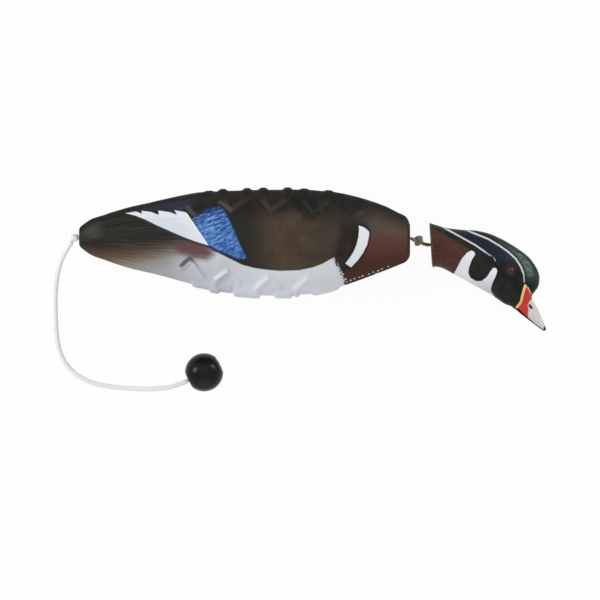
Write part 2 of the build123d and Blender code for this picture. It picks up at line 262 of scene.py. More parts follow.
# %% The cord's line
throw_cord_thickness = 4.8
throw_cord_route = [
    (-0.199887, -0.003011, 0.044903),
    (-0.2083, -0.0155, 0.0390),
    (-0.2145, -0.0330, 0.0280),
    (-0.2173, -0.0545, 0.0155),
    (-0.2170, -0.0775, 0.0065),
    (-0.2160, -0.1000, 0.0035),
    (-0.2114, -0.1198, 0.0033),
    (-0.2002, -0.1343, 0.0033),
    (-0.1843, -0.1440, 0.0033),
    (-0.1660, -0.1485, 0.0038),
    (-0.1450, -0.1505, 0.0065),
    (-0.1210, -0.1516, 0.0120),
    (-0.096104, -0.148720, 0.016994),
    (-0.083838, -0.142470, 0.017957),
]
cord_line = bpy.data.curves.new("throw_cord_line", "CURVE")
cord_line.dimensions = "3D"
cord_line.resolution_u = 24
cord_spline = cord_line.splines.new("NURBS")
cord_spline.points.add(len(throw_cord_route) - 1)
for control, place in zip(cord_spline.points, throw_cord_route):
    control.co = (*place, 1.0)
cord_spline.order_u = 3
cord_spline.use_endpoint_u = True
cord_guide = bpy.data.objects.new("throw_cord_line", cord_line)
cord_trace = bpy.data.meshes.new_from_object(cord_guide)
cord_points = np.array([v.co for v in cord_trace.vertices]) / MM
bpy.data.objects.remove(cord_guide)
cord_real_length = np.linalg.norm(np.diff(cord_points, axis=0), axis=1).sum()
print("throw cord:", round(cord_real_length, 1), "mm on", len(cord_points), "points")

# %% [markdown]
# A braid is two sets of strands that wind opposite ways and pass over each other. Seen as relief,
# it is the higher of two crossed waves round a tube. The tube's own frame is carried from ring to
# ring without twisting, so that the braid stays even round the bends.


# %% Braided cord
def even_steps(points, step):
    """The same line with its points a step apart."""
    points = np.asarray(points, float)
    run = np.r_[0, np.cumsum(np.linalg.norm(np.diff(points, axis=0), axis=1))]
    places = np.linspace(0, run[-1], max(3, int(run[-1] / step) + 1))
    return np.column_stack([np.interp(places, run, points[:, i]) for i in range(3)]), places


def braid(name, points, thickness, strands=5, lay=8.0, around=24, relief=0.024):
    """A braided cord along a line of points, with rounded ends."""
    line, places = even_steps(points, thickness * 0.1)
    ahead = np.gradient(line, axis=0)
    ahead /= np.linalg.norm(ahead, axis=1)[:, None]
    aside = np.cross(ahead[0], (0.3, 0.2, 1.0))
    angles = np.arange(around) / around * 2 * math.pi
    rings = []
    for place, point, forward in zip(places, line, ahead):
        aside = unit(aside - forward * (aside @ forward))
        wind = place / lay * 2 * math.pi
        crossed = np.maximum(np.cos(strands * angles + wind), np.cos(strands * angles - wind))
        radius = thickness / 2 * (1 - relief + relief * 1.6 * crossed)
        end = min(place, places[-1] - place) / (thickness * 0.35)
        radius = radius * math.sqrt(max(0.05, 1 - (1 - min(1, end)) ** 2))
        rings.append(point + radius[:, None] * round_about(aside, np.cross(forward, aside), around))
    return skin_rings(name, rings, caps=(True, True))


throw_cord = braid("throw_cord_braid", cord_points, throw_cord_thickness)
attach(throw_cord, "throw_line")
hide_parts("throw_cord")
print("throw cord mesh:", len(throw_cord.data.vertices), "points")

# %% [markdown]
# ## Knots
# Every cord here is stopped or joined by an overhand knot. Pulled tight, it is a trefoil: one
# strand that passes through its own loop. A closed trefoil of braided cord, packed so that its
# turns touch, gives the lumpy look of a real knot. A small ball inside stands for the buried turns.


# %% Tie the knots
def tie_knot(name, centre, along, size, thickness):
    """An overhand knot of a cord, drawn tight, with its strand running along a direction."""
    centre, along = np.array(centre, float), unit(np.array(along, float))
    aside, above = square_to(along)
    t = np.linspace(0, 2 * math.pi, 241)
    loop = np.column_stack((np.sin(t) + 2 * np.sin(2 * t), np.cos(t) - 2 * np.cos(2 * t)))
    across = loop / 3 * (size - thickness) / 2
    lift = -np.sin(3 * t) * thickness * 0.62
    points = centre + across[:, :1] * aside + across[:, 1:] * above + lift[:, None] * along
    knot = braid(name, points[:-4], thickness, lay=7.0, around=16)
    core = [centre + size * 0.38 * (math.cos(a) * along + math.sin(a) * round_about(aside, above, 16))
            for a in np.linspace(0.12, math.pi - 0.12, 10)]
    merge(knot, skin_rings(name + "_core", core, caps=(True, True)))
    return knot


def merge(piece, other):
    """Add another piece's mesh to a piece, and remove the other."""
    both = bmesh.new()
    both.from_mesh(piece.data)
    both.from_mesh(other.data)
    both.to_mesh(piece.data)
    both.free()
    bpy.data.objects.remove(other)
    piece.data.shade_smooth()


def node_middle(node):
    """The middle of a CAD node's box, in millimetres."""
    low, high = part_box(node)
    return np.array((low + high) / 2) / MM


neck_cord_thickness = 3.5
neck_along = (0.9368, -0.1352, -0.3226)
knots = {
    "neck_knot": (neck_along, 11.6, neck_cord_thickness, "neck_link"),
    "breast_anchor_knot": ((1, 0, 0), 10.3, neck_cord_thickness, "duck_body"),
    "head_anchor_knot": (head_ahead, 10.3, neck_cord_thickness, "head_cord"),
    "tail_knot": ((1, 0, 0), 8.3, 3.6, "tail_link"),
    "tail_anchor_knot": ((1, 0, 0), 12.4, throw_cord_thickness, "duck_body"),
    "ball_stop_knot": (ball_along, 10.8, 4.4, "throw_line"),
}
tied = {}
for node, (along, size, thickness, body) in knots.items():
    tied[node] = tie_knot("tied_" + node, node_middle(node), along, size, thickness)
    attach(tied[node], body)
    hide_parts(node)
print("knots:", {name: len(knot.data.vertices) for name, knot in tied.items()})

# %% [markdown]
# Short runs of cord join the knots, through the bushes and the neck plate. They ride on the same
# bodies as the rigid links that they replace, and the open ones droop a little. Their rounded ends
# reach into each other, so that the cord still looks whole when the head hangs down.

# %% Short runs of cord
breast_pivot = np.array([breast_x + 1.0, 0.0, core_height])
head_pivot = head_start - head_ahead
neck_line = head_pivot - breast_pivot
neck_knot_place = breast_pivot + neck_line * 0.41
ball_flat = 17.1  # from the ball's middle to the flats round its hole
droop = np.array([0.0, -1.6, -0.8])
short_runs = {
    "neck_cord_root": (
        [(breast_x + ahead, 0, core_height) for ahead in (-20, -9, 1)],
        neck_cord_thickness, "duck_body", "neck_cord"),
    "neck_cord_rear": (
        [breast_pivot, breast_pivot + (2.4, -1.7, -1.2), neck_knot_place + (-1.5, -1.2, 0)],
        neck_cord_thickness, "neck_strand", "neck_cord"),
    "neck_cord_front": (
        [neck_knot_place, neck_knot_place + neck_line * 0.25 + droop * 0.9,
         head_pivot - neck_line * 0.1 + droop * 0.6, head_pivot],
        neck_cord_thickness, "neck_link", "neck_cord"),
    "head_cord_end": (
        [head_pivot, head_start + head_ahead * 2, head_start + head_ahead * 6],
        neck_cord_thickness, "head_cord", "neck_cord"),
    "tail_cord_root": (
        [(tail_x + ahead, 0, core_height) for ahead in (-1.5, 20, 47)],
        throw_cord_thickness, "duck_body", "throw_cord"),
    "ball_cord_end": (
        [ball_centre - ball_along * (ball_flat + 1.0), ball_centre, ball_centre + ball_along * 6.0],
        throw_cord_thickness, "throw_line", "throw_cord"),
}
runs = {}
for node, (points, thickness, body, finish) in short_runs.items():
    runs[node] = braid(node + "_braid", points, thickness * 0.97)
    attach(runs[node], body)
    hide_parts(node)
print("short runs:", sorted(runs))

# %% [markdown]
# ## The foam body
# The body is one soft moulding, oval in section, with a blunt breast and a slim tail. Raised V
# shaped grips on the flanks and pads under the belly give a dog's mouth something to hold.
# It is skinned from rings about a millimetre apart. The skin turns in at both ends and runs back
# along the core, so the foam is one closed piece with the tube's bore through it. The grips are
# then raised along the skin's own normals, with soft shoulders, as foam has.
# Each row of the table is a place along the body, from tail to breast, and what share the back's
# height, the belly's depth and the half width have there of their greatest value.

# %% Body sections
body_length = breast_x - tail_x
body_sections = [
    (0.000, 0.214, 0.145, 0.163),
    (0.033, 0.372, 0.290, 0.330),
    (0.076, 0.474, 0.388, 0.446),
    (0.124, 0.588, 0.487, 0.554),
    (0.245, 0.776, 0.665, 0.739),
    (0.366, 0.937, 0.852, 0.891),
    (0.486, 0.986, 0.968, 0.985),
    (0.583, 1.000, 1.000, 1.000),
    (0.728, 0.980, 0.968, 0.957),
    (0.819, 0.878, 0.808, 0.837),
    (0.909, 0.694, 0.613, 0.674),
    (1.000, 0.429, 0.400, 0.478),
]
body_around = 216
body_angles = np.arange(body_around) / body_around * 2 * math.pi


def body_size(x):
    """Height of the back, depth of the belly and half width at each x, in millimetres."""
    share = (np.atleast_1d(x) - tail_x) / body_length
    sizes = follow(body_sections, np.clip(share, 0, 1))
    return sizes * (back_height, belly_depth, body_half_width)


def body_ring(x, inset=0.0):
    """One oval ring of the body at x, drawn in by the inset."""
    back, belly, side = body_size(x)[0] - inset
    y = (back - belly) / 2 + (back + belly) / 2 * np.cos(body_angles)
    return np.column_stack((np.full(body_around, x), y, core_height + side * np.sin(body_angles)))


def bore_ring(x, radius):
    """One round ring about the core's axis at x."""
    y, z = radius * np.cos(body_angles), radius * np.sin(body_angles)
    return np.column_stack((np.full(body_around, x), y, core_height + z))


print("body at its fullest:", np.round(body_size(0)[0], 1), "mm")

# %% [markdown]
# The grips' outlines are drawn in side view, so both flanks get the same ones. Each V is its tip,
# then where its rear and its front arm cross the back or the belly, if they do. Under the belly the
# front arms are the lower ones, and the first V is a short one of its own. A pad is its two ends
# and its height. The dark wing stands nearly half a millimetre proud of the belly.

# %% Grips and the wing's edge
past_edge = 60.0  # further up or down than any part of the body
back_grips = [
    (-77.0, 22.0, None, -66.0), (-41.5, 27.5, -47.5, -25.0), (-1.4, 27.5, -7.0, 16.0),
    (40.5, 25.0, 33.0, 56.5), (82.0, 21.5, None, None),
]
belly_grips = [
    (-44.9, -32.0, -54.4, -35.4, 0.7), (-4.1, -39.0, -13.6, 5.4, 1.5), (35.1, -39.0, 25.6, 44.6, 1.5),
]
short_grip = [(-91.3, -29.4), (-81.3, -22.4), (-69.3, -36.4)]
belly_pads = [
    (-79.0, -60.0, 2.4), (-62.0, -52.0, 4.5), (-38.0, -12.0, 4.7), (3.0, 20.0, 3.9), (41.0, 66.0, 2.2),
]
belly_edge = [
    (-206, -4), (-193, -5), (-172, -8), (-150, -9), (-128, -10), (-105, -9), (-88, -8),
    (-62, -10), (-54.5, -14.5), (-42, -20.8), (-29.5, -27), (-17, -30.2), (-4.5, -32), (8, -33),
    (26.8, -32.4), (40.5, -29.6), (50.5, -25.8), (61.8, -19.5),
]
wing_shape = [(-62, 60), *belly_edge[7:], (66, 0), (62, 60)]


def bars(side, line, height, start=1.0, end=3.6):
    """The height of bars along a line, with soft shoulders."""
    return height * (1 - ease(from_line(side, line), start, end))


def grip_height(x, y):
    """How far the grips and pads stand out of the foam, in millimetres."""
    side = np.column_stack((x, y))
    raised = [bars(side, short_grip, np.where(x < short_grip[1][0] + 1, 2.6, 1.5))]
    broad = ease(y, 34, 44)
    for tip_x, tip_y, rear, front in back_grips:
        line = [(tip_x - 9, tip_y + 11), (tip_x, tip_y), (tip_x + 16.5, tip_y + 11)]
        line = [(rear, past_edge)] * (rear is not None) + line
        line += [(front, past_edge)] * (front is not None)
        height = 2.3 - 1.1 * ease(abs(tip_x + 12), 25, 60)  # the middle grips stand out most
        raised.append(bars(side, line, height, 1.2 + 0.6 * broad, 3.7 + 2.1 * broad))
    for tip_x, tip_y, rear, front, front_height in belly_grips:
        line = [(rear, -past_edge), (tip_x - 12, tip_y - 11), (tip_x, tip_y), (tip_x + 12, tip_y - 11),
                (front, -past_edge)]
        raised.append(bars(side, line, np.where(x < tip_x + 1, 2.6, front_height)))
    depth = body_size(x)[:, 1]
    for start, end, height in belly_pads:
        along = band(x, start - 2.5, start + 1.5, end - 1.5, end + 2.5)
        raised.append(height * along * ease(-y, depth - 6.5, depth - 1.5))
    for height, *places in ((1.9, -60, -57, -42, -38), (1.3, -15, -12, 2, 5)):  # webs between pads
        raised.append(height * band(x, *places) * ease(-y, 42, 50))
    return np.max(raised, axis=0)


def feather_grooves(x, y, turned):
    """Shallow grooves that run forwards from the tail's tip."""
    grooves = np.sin(turned * 60 + 0.6 * np.sin(x * 0.11))
    return -0.12 * band(x, -190, -176, -150, -100) * ease(y, -18, -6) * np.maximum(0, grooves)


print("grips:", len(back_grips), "on the back,", 1 + len(belly_grips), "under the wing")

# %% Skin the body
tail_round, breast_round = 2.5, 6.5
tube_bore, spout_bore, flange_bore = 9.1, 4.4, 12.1
tail_turns = [(tail_x + tail_round * (1 - math.cos(a)), tail_round * (1 - math.sin(a)))
              for a in np.linspace(0, math.pi / 2, 7)[:-1]]
breast_turns = [(breast_x - breast_round * (1 - math.sin(a)), breast_round * (1 - math.cos(a)))
                for a in np.linspace(0, math.pi / 2, 12)]
long_run = np.r_[np.arange(tail_x + tail_round, tail_x + 12, 0.8),
                 np.arange(tail_x + 12, breast_x - breast_round, 1.15)]
stations = [*tail_turns, *((x, 0.0) for x in long_run), *breast_turns]
skin = np.array([body_ring(x, inset) for x, inset in stations])
tail_face, tail_mouth = skin[0], bore_ring(tail_x, spout_bore)
breast_face, breast_mouth = skin[-1], bore_ring(breast_x, flange_bore)
into_breast = [breast_face + (breast_mouth - breast_face) * t for t in (0.15, 0.3, 0.5, 0.7, 0.85)]
out_of_tail = [tail_mouth + (tail_face - tail_mouth) * t for t in (0.35, 0.7)]
bore = [bore_ring(x, radius) for x, radius in (
    (breast_x, flange_bore + 0.3), (breast_x - 0.3, flange_bore), (breast_x - 2.6, flange_bore),
    (breast_x - 2.6, tube_bore), (-50.0, tube_bore), (tail_x + 31.9, tube_bore),
    (tail_x + 31.9, spout_bore), (tail_x, spout_bore))]

x, y, z = skin.reshape(-1, 3).T
turned = np.arctan2(z - core_height, y + 3.5)
proud = grip_height(x, y) + feather_grooves(x, y, turned)
within_wing = inside_shape(np.column_stack((x, y)), wing_shape)
proud += 0.45 * ease(within_wing, -1.2, 1.2) * (1 - ease(x, 40, 60))
proud -= 0.25 * (1 - ease(np.abs(y + 3.0), 0.3, 1.6)) * ease(x, 100, 112)  # the mould's seam
for depth, along, up in (
    (0.5, (-165, -150, -125, -112), (8, 18)),  # the back runs flatter over the tail
    (1.15, (-75, -55, 45, 64), (28, 42)),  # and between the grips
):
    proud -= depth * band(x, *along) * ease(y, *up)
proud *= band(x, tail_x + 1, tail_x + 12, breast_x - 8, breast_x - 2)
proud -= 0.8 * ease(x, 112, 128) * ease(y, 8, 16)  # the shoulder falls away before the neck
raised_skin = skin + facing_out(skin) * proud.reshape(*skin.shape[:2], 1)
raised_skin[:, :, 2] = np.maximum(raised_skin[:, :, 2], 0.05)
foam_body = skin_rings(
    "foam_body_skin", [*raised_skin, *into_breast, *bore, *out_of_tail], join_ends=True)
foam_body.data.set_sharp_from_angle(angle=math.radians(50))
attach(foam_body, "duck_body")
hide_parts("foam_body")
print("foam body:", len(foam_body.data.vertices), "points on", len(skin), "rings")

# %% [markdown]
# ## Taping the plumage
# A drake wood duck has a white edge on its folded wing, a blue panel beside it, a warm brown
# side, a pale belly, a black and a white bar before the breast, and a chestnut breast. Each is an
# outline in side view, in millimetres from the thickest place of the body. Lines are taped too,
# where paint fades away from an edge, where painted shadow lies in a groove and under the white
# wing, and where painted highlights lie on some grips' arms and on the black bar.

# %% Tape the body
body_outlines = {
    "white_wing": [
        (-147, 24.8), (-135.7, 26.5), (-129.7, 23.9), (-130.5, 27.2), (-120.7, 25.9), (-113, 22.8),
        (-113.5, 27.4), (-102, 25.7), (-94.5, 22.9), (-97.6, 27.7), (-86.4, 25.7), (-84.5, 24.2),
        (-63.2, -7.6), (-77, -3.3), (-89.5, 1.4), (-102, 6.9), (-114.5, 12.4), (-127, 18.6), (-137, 22.5),
    ],
    "blue_wing": [
        (-78.2, 19.2), (-73.2, 24.2), (-64.5, 29.2), (-50.7, 32.4), (-48.2, 29.9), (-43.2, 21.7),
        (-37, 8), (-30.7, -7), (-24.5, -19.5), (-27, -22), (-33.2, -22), (-42, -18.3),
        (-54.5, -13.3), (-62, -9.0), (-63.8, -7.6), (-80.2, 18.8),
    ],
    "black_bar": [
        (56, 40), (64, 22), (68, 10), (68.5, 0), (67, -9), (61.8, -19.5), (66, -27), (70, -34), (73, -37),
        (77, -32), (83, -24), (92, -10), (97, 2), (96, 10), (90, 16), (84, 24), (80, 42),
    ],
    "white_bar": [
        (86.5, 12.5), (92, 10.5), (97, 6.5), (97, 2), (95, -7), (91, -15), (86, -22), (79, -29.5),
        (73.2, -25.5), (77.5, -20), (81.4, -14), (84.3, -7), (86.3, 1), (87.0, 8),
    ],
    "chestnut_breast": [
        (97, 60), (94, 20), (98, 8), (97, -4), (92, -16), (84, -28), (76, -33), (70, -34),
        (72.5, -42), (75, -50), (76, -80), (160, -80), (160, 60),
    ],
    "pale_belly": [
        *belly_edge, (63, -23.3), (66.8, -29.5), (73, -42), (74.5, -50), (75, -80), (-206, -80),
    ],
    "purple_back": [(-150, 30), (-118, 27), (-92, 27), (-86, 28), (-80, 38), (-84, 60), (-160, 60)],
    "maroon_patch": [
        (-98, -6), (-84, -5), (-70, -8), (-60, -12), (-58, -17), (-66, -21), (-80, -20), (-92, -15),
    ],
}
body_lines = {
    "blue_rim": body_outlines["blue_wing"][3:14],
    # The line under the white wing's lower edge, where a band of painted shadow lies.
    "shadow_under_white_wing": [
        (-127, 19.2), (-114.5, 13), (-102, 7.4), (-89.5, 1.7), (-77, -3.3), (-63.2, -7.6), (-56, -11.5),
    ],
    "wing_side": [(-84.5, 24.2), (-63.2, -7.6)],
}
# Painted shadow along the groove above the short grip under the wing.
painted_groove_shadow = [(-91.5, -28.0), (-86.4, -23.9), (-82, -20.6), (-77, -24.1), (-69.0, -36.6)]
# Painted highlights on the rear arms of the three grips under the wing.
painted_belly_highlights = [
    [(-56.0, -39.6), (-46.2, -33.2)], [(-14.9, -49.2), (-5.2, -40.6)], [(24.6, -50.2), (34.2, -41.0)],
]
# Painted highlights on the rear arms of two grips on the back, and on the black bar.
painted_arm_highlights = [[(-84, 30), (-77, 22.5)], [(-52, 35.5), (-41.5, 28)], [(84, 22.6), (91, 25.4)]]
body_points = points_of(foam_body)
x, y, z = body_points.T
for name, corners in body_outlines.items():
    tape(foam_body, name, inside_shape(body_points, corners))
for name, line in body_lines.items():
    tape(foam_body, name, from_line(body_points, line))
painted_groove_shadow_width = np.interp(x, (-92, -88, -80, -70), (1.4, 2.4, 1.7, 0.6))
tape(foam_body, "painted_groove_shadow", painted_groove_shadow_width - from_line(body_points, painted_groove_shadow))
for name, width, arms in (("painted_arm_highlights", 2.0, painted_arm_highlights), ("painted_belly_highlights", 1.8, painted_belly_highlights)):
    tape(foam_body, name, width - np.min([from_line(body_points, arm) for arm in arms], axis=0))
tape(foam_body, "grip_relief", grip_height(x, y))
tape(foam_body, "from_breast", breast_x - x)
back, belly, _ = body_size(np.clip(x, tail_x, breast_x)).T
tape(foam_body, "from_back", back - y)
tape(foam_body, "from_belly", belly + y)
tape(foam_body, "fan", np.abs(np.arctan2(z - core_height, y + 3.5)) * body_half_width)
print("taped:", [a.name for a in foam_body.data.attributes if a.data_type == "FLOAT"])

# %% [markdown]
# ## The hard head
# The head and neck are two thin shells glued along the middle. The skin runs through ovals that
# tilt downwards from the neck plate to the bill, so the head hangs as a dead bird's does.
# It has a wall: the skin turns in at the neck and runs back inside. Fine work follows: the
# crest's ridge, the seam, the mouth's line and the nostrils.
# Each row of the table is an oval: its middle as shares of the head's length and height, its tilt
# in degrees, and its height and width as shares of the neck's.

# %% Head sections
head_wall, hollow_sections = 2.2, 8
head_rows = [
    (0.000, 0.000, 0.0, 1.000, 1.000),
    (0.111, -0.088, -9.5, 0.934, 0.965),
    (0.268, -0.222, -19.5, 1.054, 0.950),
    (0.474, -0.444, -25.0, 1.212, 0.950),
    (0.665, -0.737, -30.5, 1.230, 0.900),
    (0.788, -1.010, -37.0, 1.165, 0.800),
    (0.842, -1.222, -48.5, 0.949, 0.680),
    (0.844, -1.356, -54.0, 0.749, 0.560),
    (0.828, -1.455, -54.0, 0.560, 0.430),
    (0.832, -1.510, -53.0, 0.490, 0.372),
    (0.866, -1.640, -54.5, 0.420, 0.360),
    (0.914, -1.808, -56.0, 0.324, 0.365),
    (0.960, -1.972, -56.5, 0.222, 0.355),
    (0.985, -2.060, -56.0, 0.165, 0.340),
    (1.000, -2.113, -54.5, 0.128, 0.290),
    (1.007, -2.140, -53.0, 0.104, 0.210),
    (1.012, -2.155, -53.0, 0.070, 0.140),
    (1.014, -2.161, -53.0, 0.030, 0.070),
]


def head_place(ahead, above, aside=0.0):
    """A point of the head's own frame, in the duck's frame."""
    return head_start + ahead * head_ahead + above * head_up + aside * head_side


def head_rings(rows, steps, shrink=0.0, around=128):
    """Rings of the head through its sections, each drawn in by the shrink."""
    rows = np.array(rows, float)
    centres = rows[:, :2] * (head_length, head_height)
    change = np.diff(np.column_stack((centres, rows[:, 3] * head_height / 2)), axis=0)
    place = np.r_[0, np.cumsum(np.linalg.norm(change, axis=1))]
    values = follow(np.column_stack((place, rows)), steps * place[-1])
    rings = []
    for ahead, above, tilt, tall, wide in values:
        lean = math.radians(tilt)
        up = -math.sin(lean) * head_ahead + math.cos(lean) * head_up
        tall = max(0.2, tall * head_height / 2 - shrink)
        wide = max(0.2, wide * head_width / 2 - shrink)
        middle = head_place(ahead * head_length, above * head_height)
        rings.append(middle + round_about(tall * up, wide * head_side, around))
    return np.array(rings)


head_skin = head_rings(head_rows, np.linspace(0, 1, 230))
from_start = (head_skin - head_start) @ head_ahead  # how far ahead of the neck plate
first = int(np.argmax(from_start.min(axis=1) > 6.0))
columns = np.arange(head_skin.shape[1])
plate_face = 2.03
neck_rings = []  # the first lies flat on the neck plate, and the others lead over to the ovals
for share in (0.0, 0.06, 0.3, 0.65):
    level = plate_face + (from_start[first] - plate_face) * share
    neck_rings.append([[np.interp(level[j], from_start[:, j], head_skin[:, j, k]) for k in range(3)]
                       for j in columns])
head_skin = np.concatenate((neck_rings, head_skin[first:]))
print("head rings:", len(head_skin), "from", round(float(head_skin[0, :, 0].min()), 1), "mm")

# %% Shape the crest, the seam and the bill
crest_line = [
    (190, 9.6), (195.2, 7.4), (205.2, 3.6), (216.3, -0.9), (227.4, -7.5), (236.3, -13.7),
    (244, -20.9), (249, -28.7), (251.9, -36.4), (252.4, -44.2),
]
crown = [*crest_line, (253.5, -47.5), (256.3, -49.8), (259.4, -55.8), (264, -58.5), (285, -50),
         (285, 5), (240, 25), (195, 25)]
bill = [(253, -47.2), (250.8, -56.4), (249.1, -64.2), (244.6, -69.6), (238, -74), (262, -110),
        (295, -100), (266, -58), (259.4, -55.8), (256.3, -49.8)]
mouth_line = [(246, -70.6), (250.8, -75.0), (256.3, -79.6), (263, -85.2), (271.4, -91.4)]
nostril = (258.7, -68.6)
bill_ahead = np.array([math.cos(math.radians(-55)), math.sin(math.radians(-55))])
bill_across = np.array([-bill_ahead[1], bill_ahead[0]])


def nostril_share(points, length, width):
    """1 in the middle of the nostril's oval and 0 on its edge."""
    away = points[:, :2] - nostril
    return 1 - np.hypot(away @ bill_ahead / length, away @ bill_across / width)


flat = head_skin.reshape(-1, 3)
within_bill = inside_shape(flat, bill)
rise = 0.7 * ease(inside_shape(flat, crown), -0.6, 2.2) * (1 - ease(within_bill, -2, 1))
rise -= 0.5 * ease(within_bill, -0.4, 0.8)
rise -= 0.9 * ease(nostril_share(flat, 3.0, 1.4), -0.2, 0.6)
rise -= 0.45 * (1 - ease(from_line(flat, mouth_line), 0.2, 1.0))
seam = 1 - ease(np.abs(flat[:, 2] - head_start[2]), 0.05, 0.8)
rise -= 0.22 * seam * (within_bill < 0)
around_top = ease(np.cos(columns / len(columns) * 2 * math.pi), 0.3, 0.95)
crest_rise = 0.1 + 0.75 * ease(head_skin[:, :, 0], 190, 203) - 1.1 * ease(head_skin[:, :, 0], 212, 240)
head_shape = head_skin.shape[:2]
rise = rise.reshape(head_shape) + crest_rise * around_top * (within_bill.reshape(head_shape) < 0)
head_skin = head_skin + facing_out(head_skin) * rise[:, :, None]
head_skin[:, :, 2] = np.maximum(head_skin[:, :, 2], 0.06)
inner_wall = head_rings(head_rows[:hollow_sections], np.linspace(0.99, 0, 60), shrink=head_wall)
inner_face = (inner_wall - head_start) @ head_ahead
inner_wall = inner_wall[: int(np.argmax(inner_face.min(axis=1) < 2.1))]
head_skin = np.concatenate((inner_wall, head_skin))
hard_head = skin_rings("hard_head_shell", head_skin, caps=(True, True))
hard_head.data.set_sharp_from_angle(angle=math.radians(60))
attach(hard_head, "head")
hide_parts("head_shell_left", "head_shell_right")
print("hard head:", len(hard_head.data.vertices), "points")

# %% [markdown]
# The head's paint is finer than the body's: two thin white lines sweep back from the bill and the
# eye, the throat is white with two points, and the bill is cream, red and yellow.

# %% Tape the head
head_points = points_of(hard_head)
x, y, z = head_points.T
cheek_line = [(169.0, 12.0), (188.5, 1.3), (204, -7.5), (215.2, -15.3), (222, -19.8), (223.8, -23.4)]
bill_rim = [
    (245.0, -69.2), (249.1, -64.2), (250.8, -56.4), (253.2, -47.4), (256.3, -49.9), (259.0, -55.6),
]
bill_ridge = [
    (259.6, -56.4), (262.4, -62.5), (266.8, -71.5), (270.4, -79), (273.9, -86.5), (276.2, -91),
]
head_outlines = {
    "crown": crown,
    "navy_crest": [*cheek_line, (233, -25), (243, -27), *crest_line[::-1][3:], (190, 25), (160, 25)],
    "chestnut_neck": [
        (150, 13), (158, 10.8), (165, 7.6), (175, 2.3), (186, -4.2), (197.5, -11.4), (195, -14.2),
        (190.8, -19.8), (186.3, -27.5), (182, -35.5), (180, -60), (150, -60),
    ],
    "white_throat": [
        (199.7, -12.4), (202.4, -14), (203.2, -16.4), (199.7, -22), (196.9, -29.8), (196.3, -35.3),
        (198.6, -39.8), (204.1, -43.1), (209.7, -43.1), (215.2, -38.7), (218.6, -33.1), (221.3, -29.8),
        (224.1, -30.1), (225.4, -33.1), (223.6, -38.7), (220.8, -44.2), (219.1, -49.8), (219.1, -53.1),
        (222.5, -58.2), (224, -90), (182, -90), (182, -35.9), (185.2, -29.8), (189.7, -20.9), (195.2, -14.6),
    ],
    "bill": bill,
    "bill_red": [
        (250, -46), (256.5, -48), (264, -58), (259.8, -61.2), (257.4, -63.9), (255.9, -66.6), (256.8, -72),
        (256, -80), (254, -92), (236, -76),
    ],
}
cheek_width = 0.78 * np.clip((x - 168) / 8, 0.3, 1) * np.clip((225.5 - x) / 14, 0.45, 1)
crest_width = 0.80 * np.clip((x - 192) / 8, 0.4, 1) * np.clip((y + 46) / 12, 0.6, 1)
head_lines = {
    "cheek_line": (cheek_width, cheek_line),
    "crest_line": (crest_width, crest_line[1:]),
    "bill_rim": (np.where(x > 254.5, 0.6, 1.2), bill_rim),
    "bill_ridge": (0.85, bill_ridge),
}
for name, corners in head_outlines.items():
    tape(hard_head, name, inside_shape(head_points, corners))
for name, (width, line) in head_lines.items():
    tape(hard_head, name, width - from_line(head_points, line))
tape(hard_head, "nostril", 1.6 * nostril_share(head_points, 3.0, 1.3))
below_mouth = np.interp(x, *np.array(mouth_line).T) + np.interp(x, (246, 262), (1.0, -0.1)) - y
tape(hard_head, "lower_bill", np.where(x > 238, below_mouth, -5))
tape(hard_head, "bill_tip", 3.7 - np.hypot(x - 275.6, y + 90.4))
turn_from_ridge = np.minimum(columns, len(columns) - columns) * 360 / len(columns)
tape(hard_head, "from_ridge", np.r_[np.tile(turn_from_ridge, len(head_skin)), 90, 90])
print("taped:", [a.name for a in hard_head.data.attributes if a.data_type == "FLOAT"])

# %% [markdown]
# ## Eyes
# Each eye is a glossy dark red bead with a black pupil, set in a low painted lid. A bead is a
# cap of a ball that stands a millimetre out of the shell.

# %% Set the eyes
eye_side = head_place(78.1, -31.1)
eye_radius, eye_proud = 3.6, 1.2


def head_surface(side_point, right):
    """The head's skin over a point in side view, and which way it faces there."""
    outer = head_points[inner_wall.shape[0] * inner_wall.shape[1]:]
    near = outer[(outer[:, 2] > head_start[2]) == right]
    near = near[np.hypot(*(near[:, :2] - side_point[:2]).T) < 7.0]
    fit = np.column_stack((near[:, :2] - side_point[:2], np.ones(len(near))))
    lean_x, lean_y, height = np.linalg.lstsq(fit, near[:, 2], rcond=None)[0]
    facing = np.array([-lean_x, -lean_y, 1.0]) * (1 if right else -1)
    return np.array([*side_point[:2], height]), unit(facing)


def bead(name, place, facing, radius, proud):
    """A cap of a ball, domed out of a surface."""
    around = round_about(*square_to(facing, (0.1, 1.0, 0.2)), 48)
    rings = [place + (proud * math.cos(t * math.pi / 2) - 0.35 * t**6) * facing + t * radius * around
             for t in np.linspace(1, 0.04, 16)]
    return skin_rings(name, [rings[0] - 1.2 * facing, *rings], caps=(True, True))


eyes = []
for name, right in (("eye_right", True), ("eye_left", False)):
    place, facing = head_surface(eye_side, right)
    eye_bead = bead(name, place, facing, eye_radius, eye_proud)
    from_place = points_of(eye_bead) - place
    from_axis = from_place - (from_place @ facing)[:, None] * facing
    tape(eye_bead, "from_pupil", np.linalg.norm(from_axis, axis=1))
    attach(eye_bead, "head")
    eyes.append(eye_bead)
print("eyes at", [round(float(v), 1) for v in place])

# %% [markdown]
# ## The ball
# The ball is black rubber, turned true and then cut flat at both ends of its hole. It is
# made as a turned profile: along the hole, over the flats and the round, and back down the recess
# where the stop knot sits. Small roundings take the sharpness off its edges.

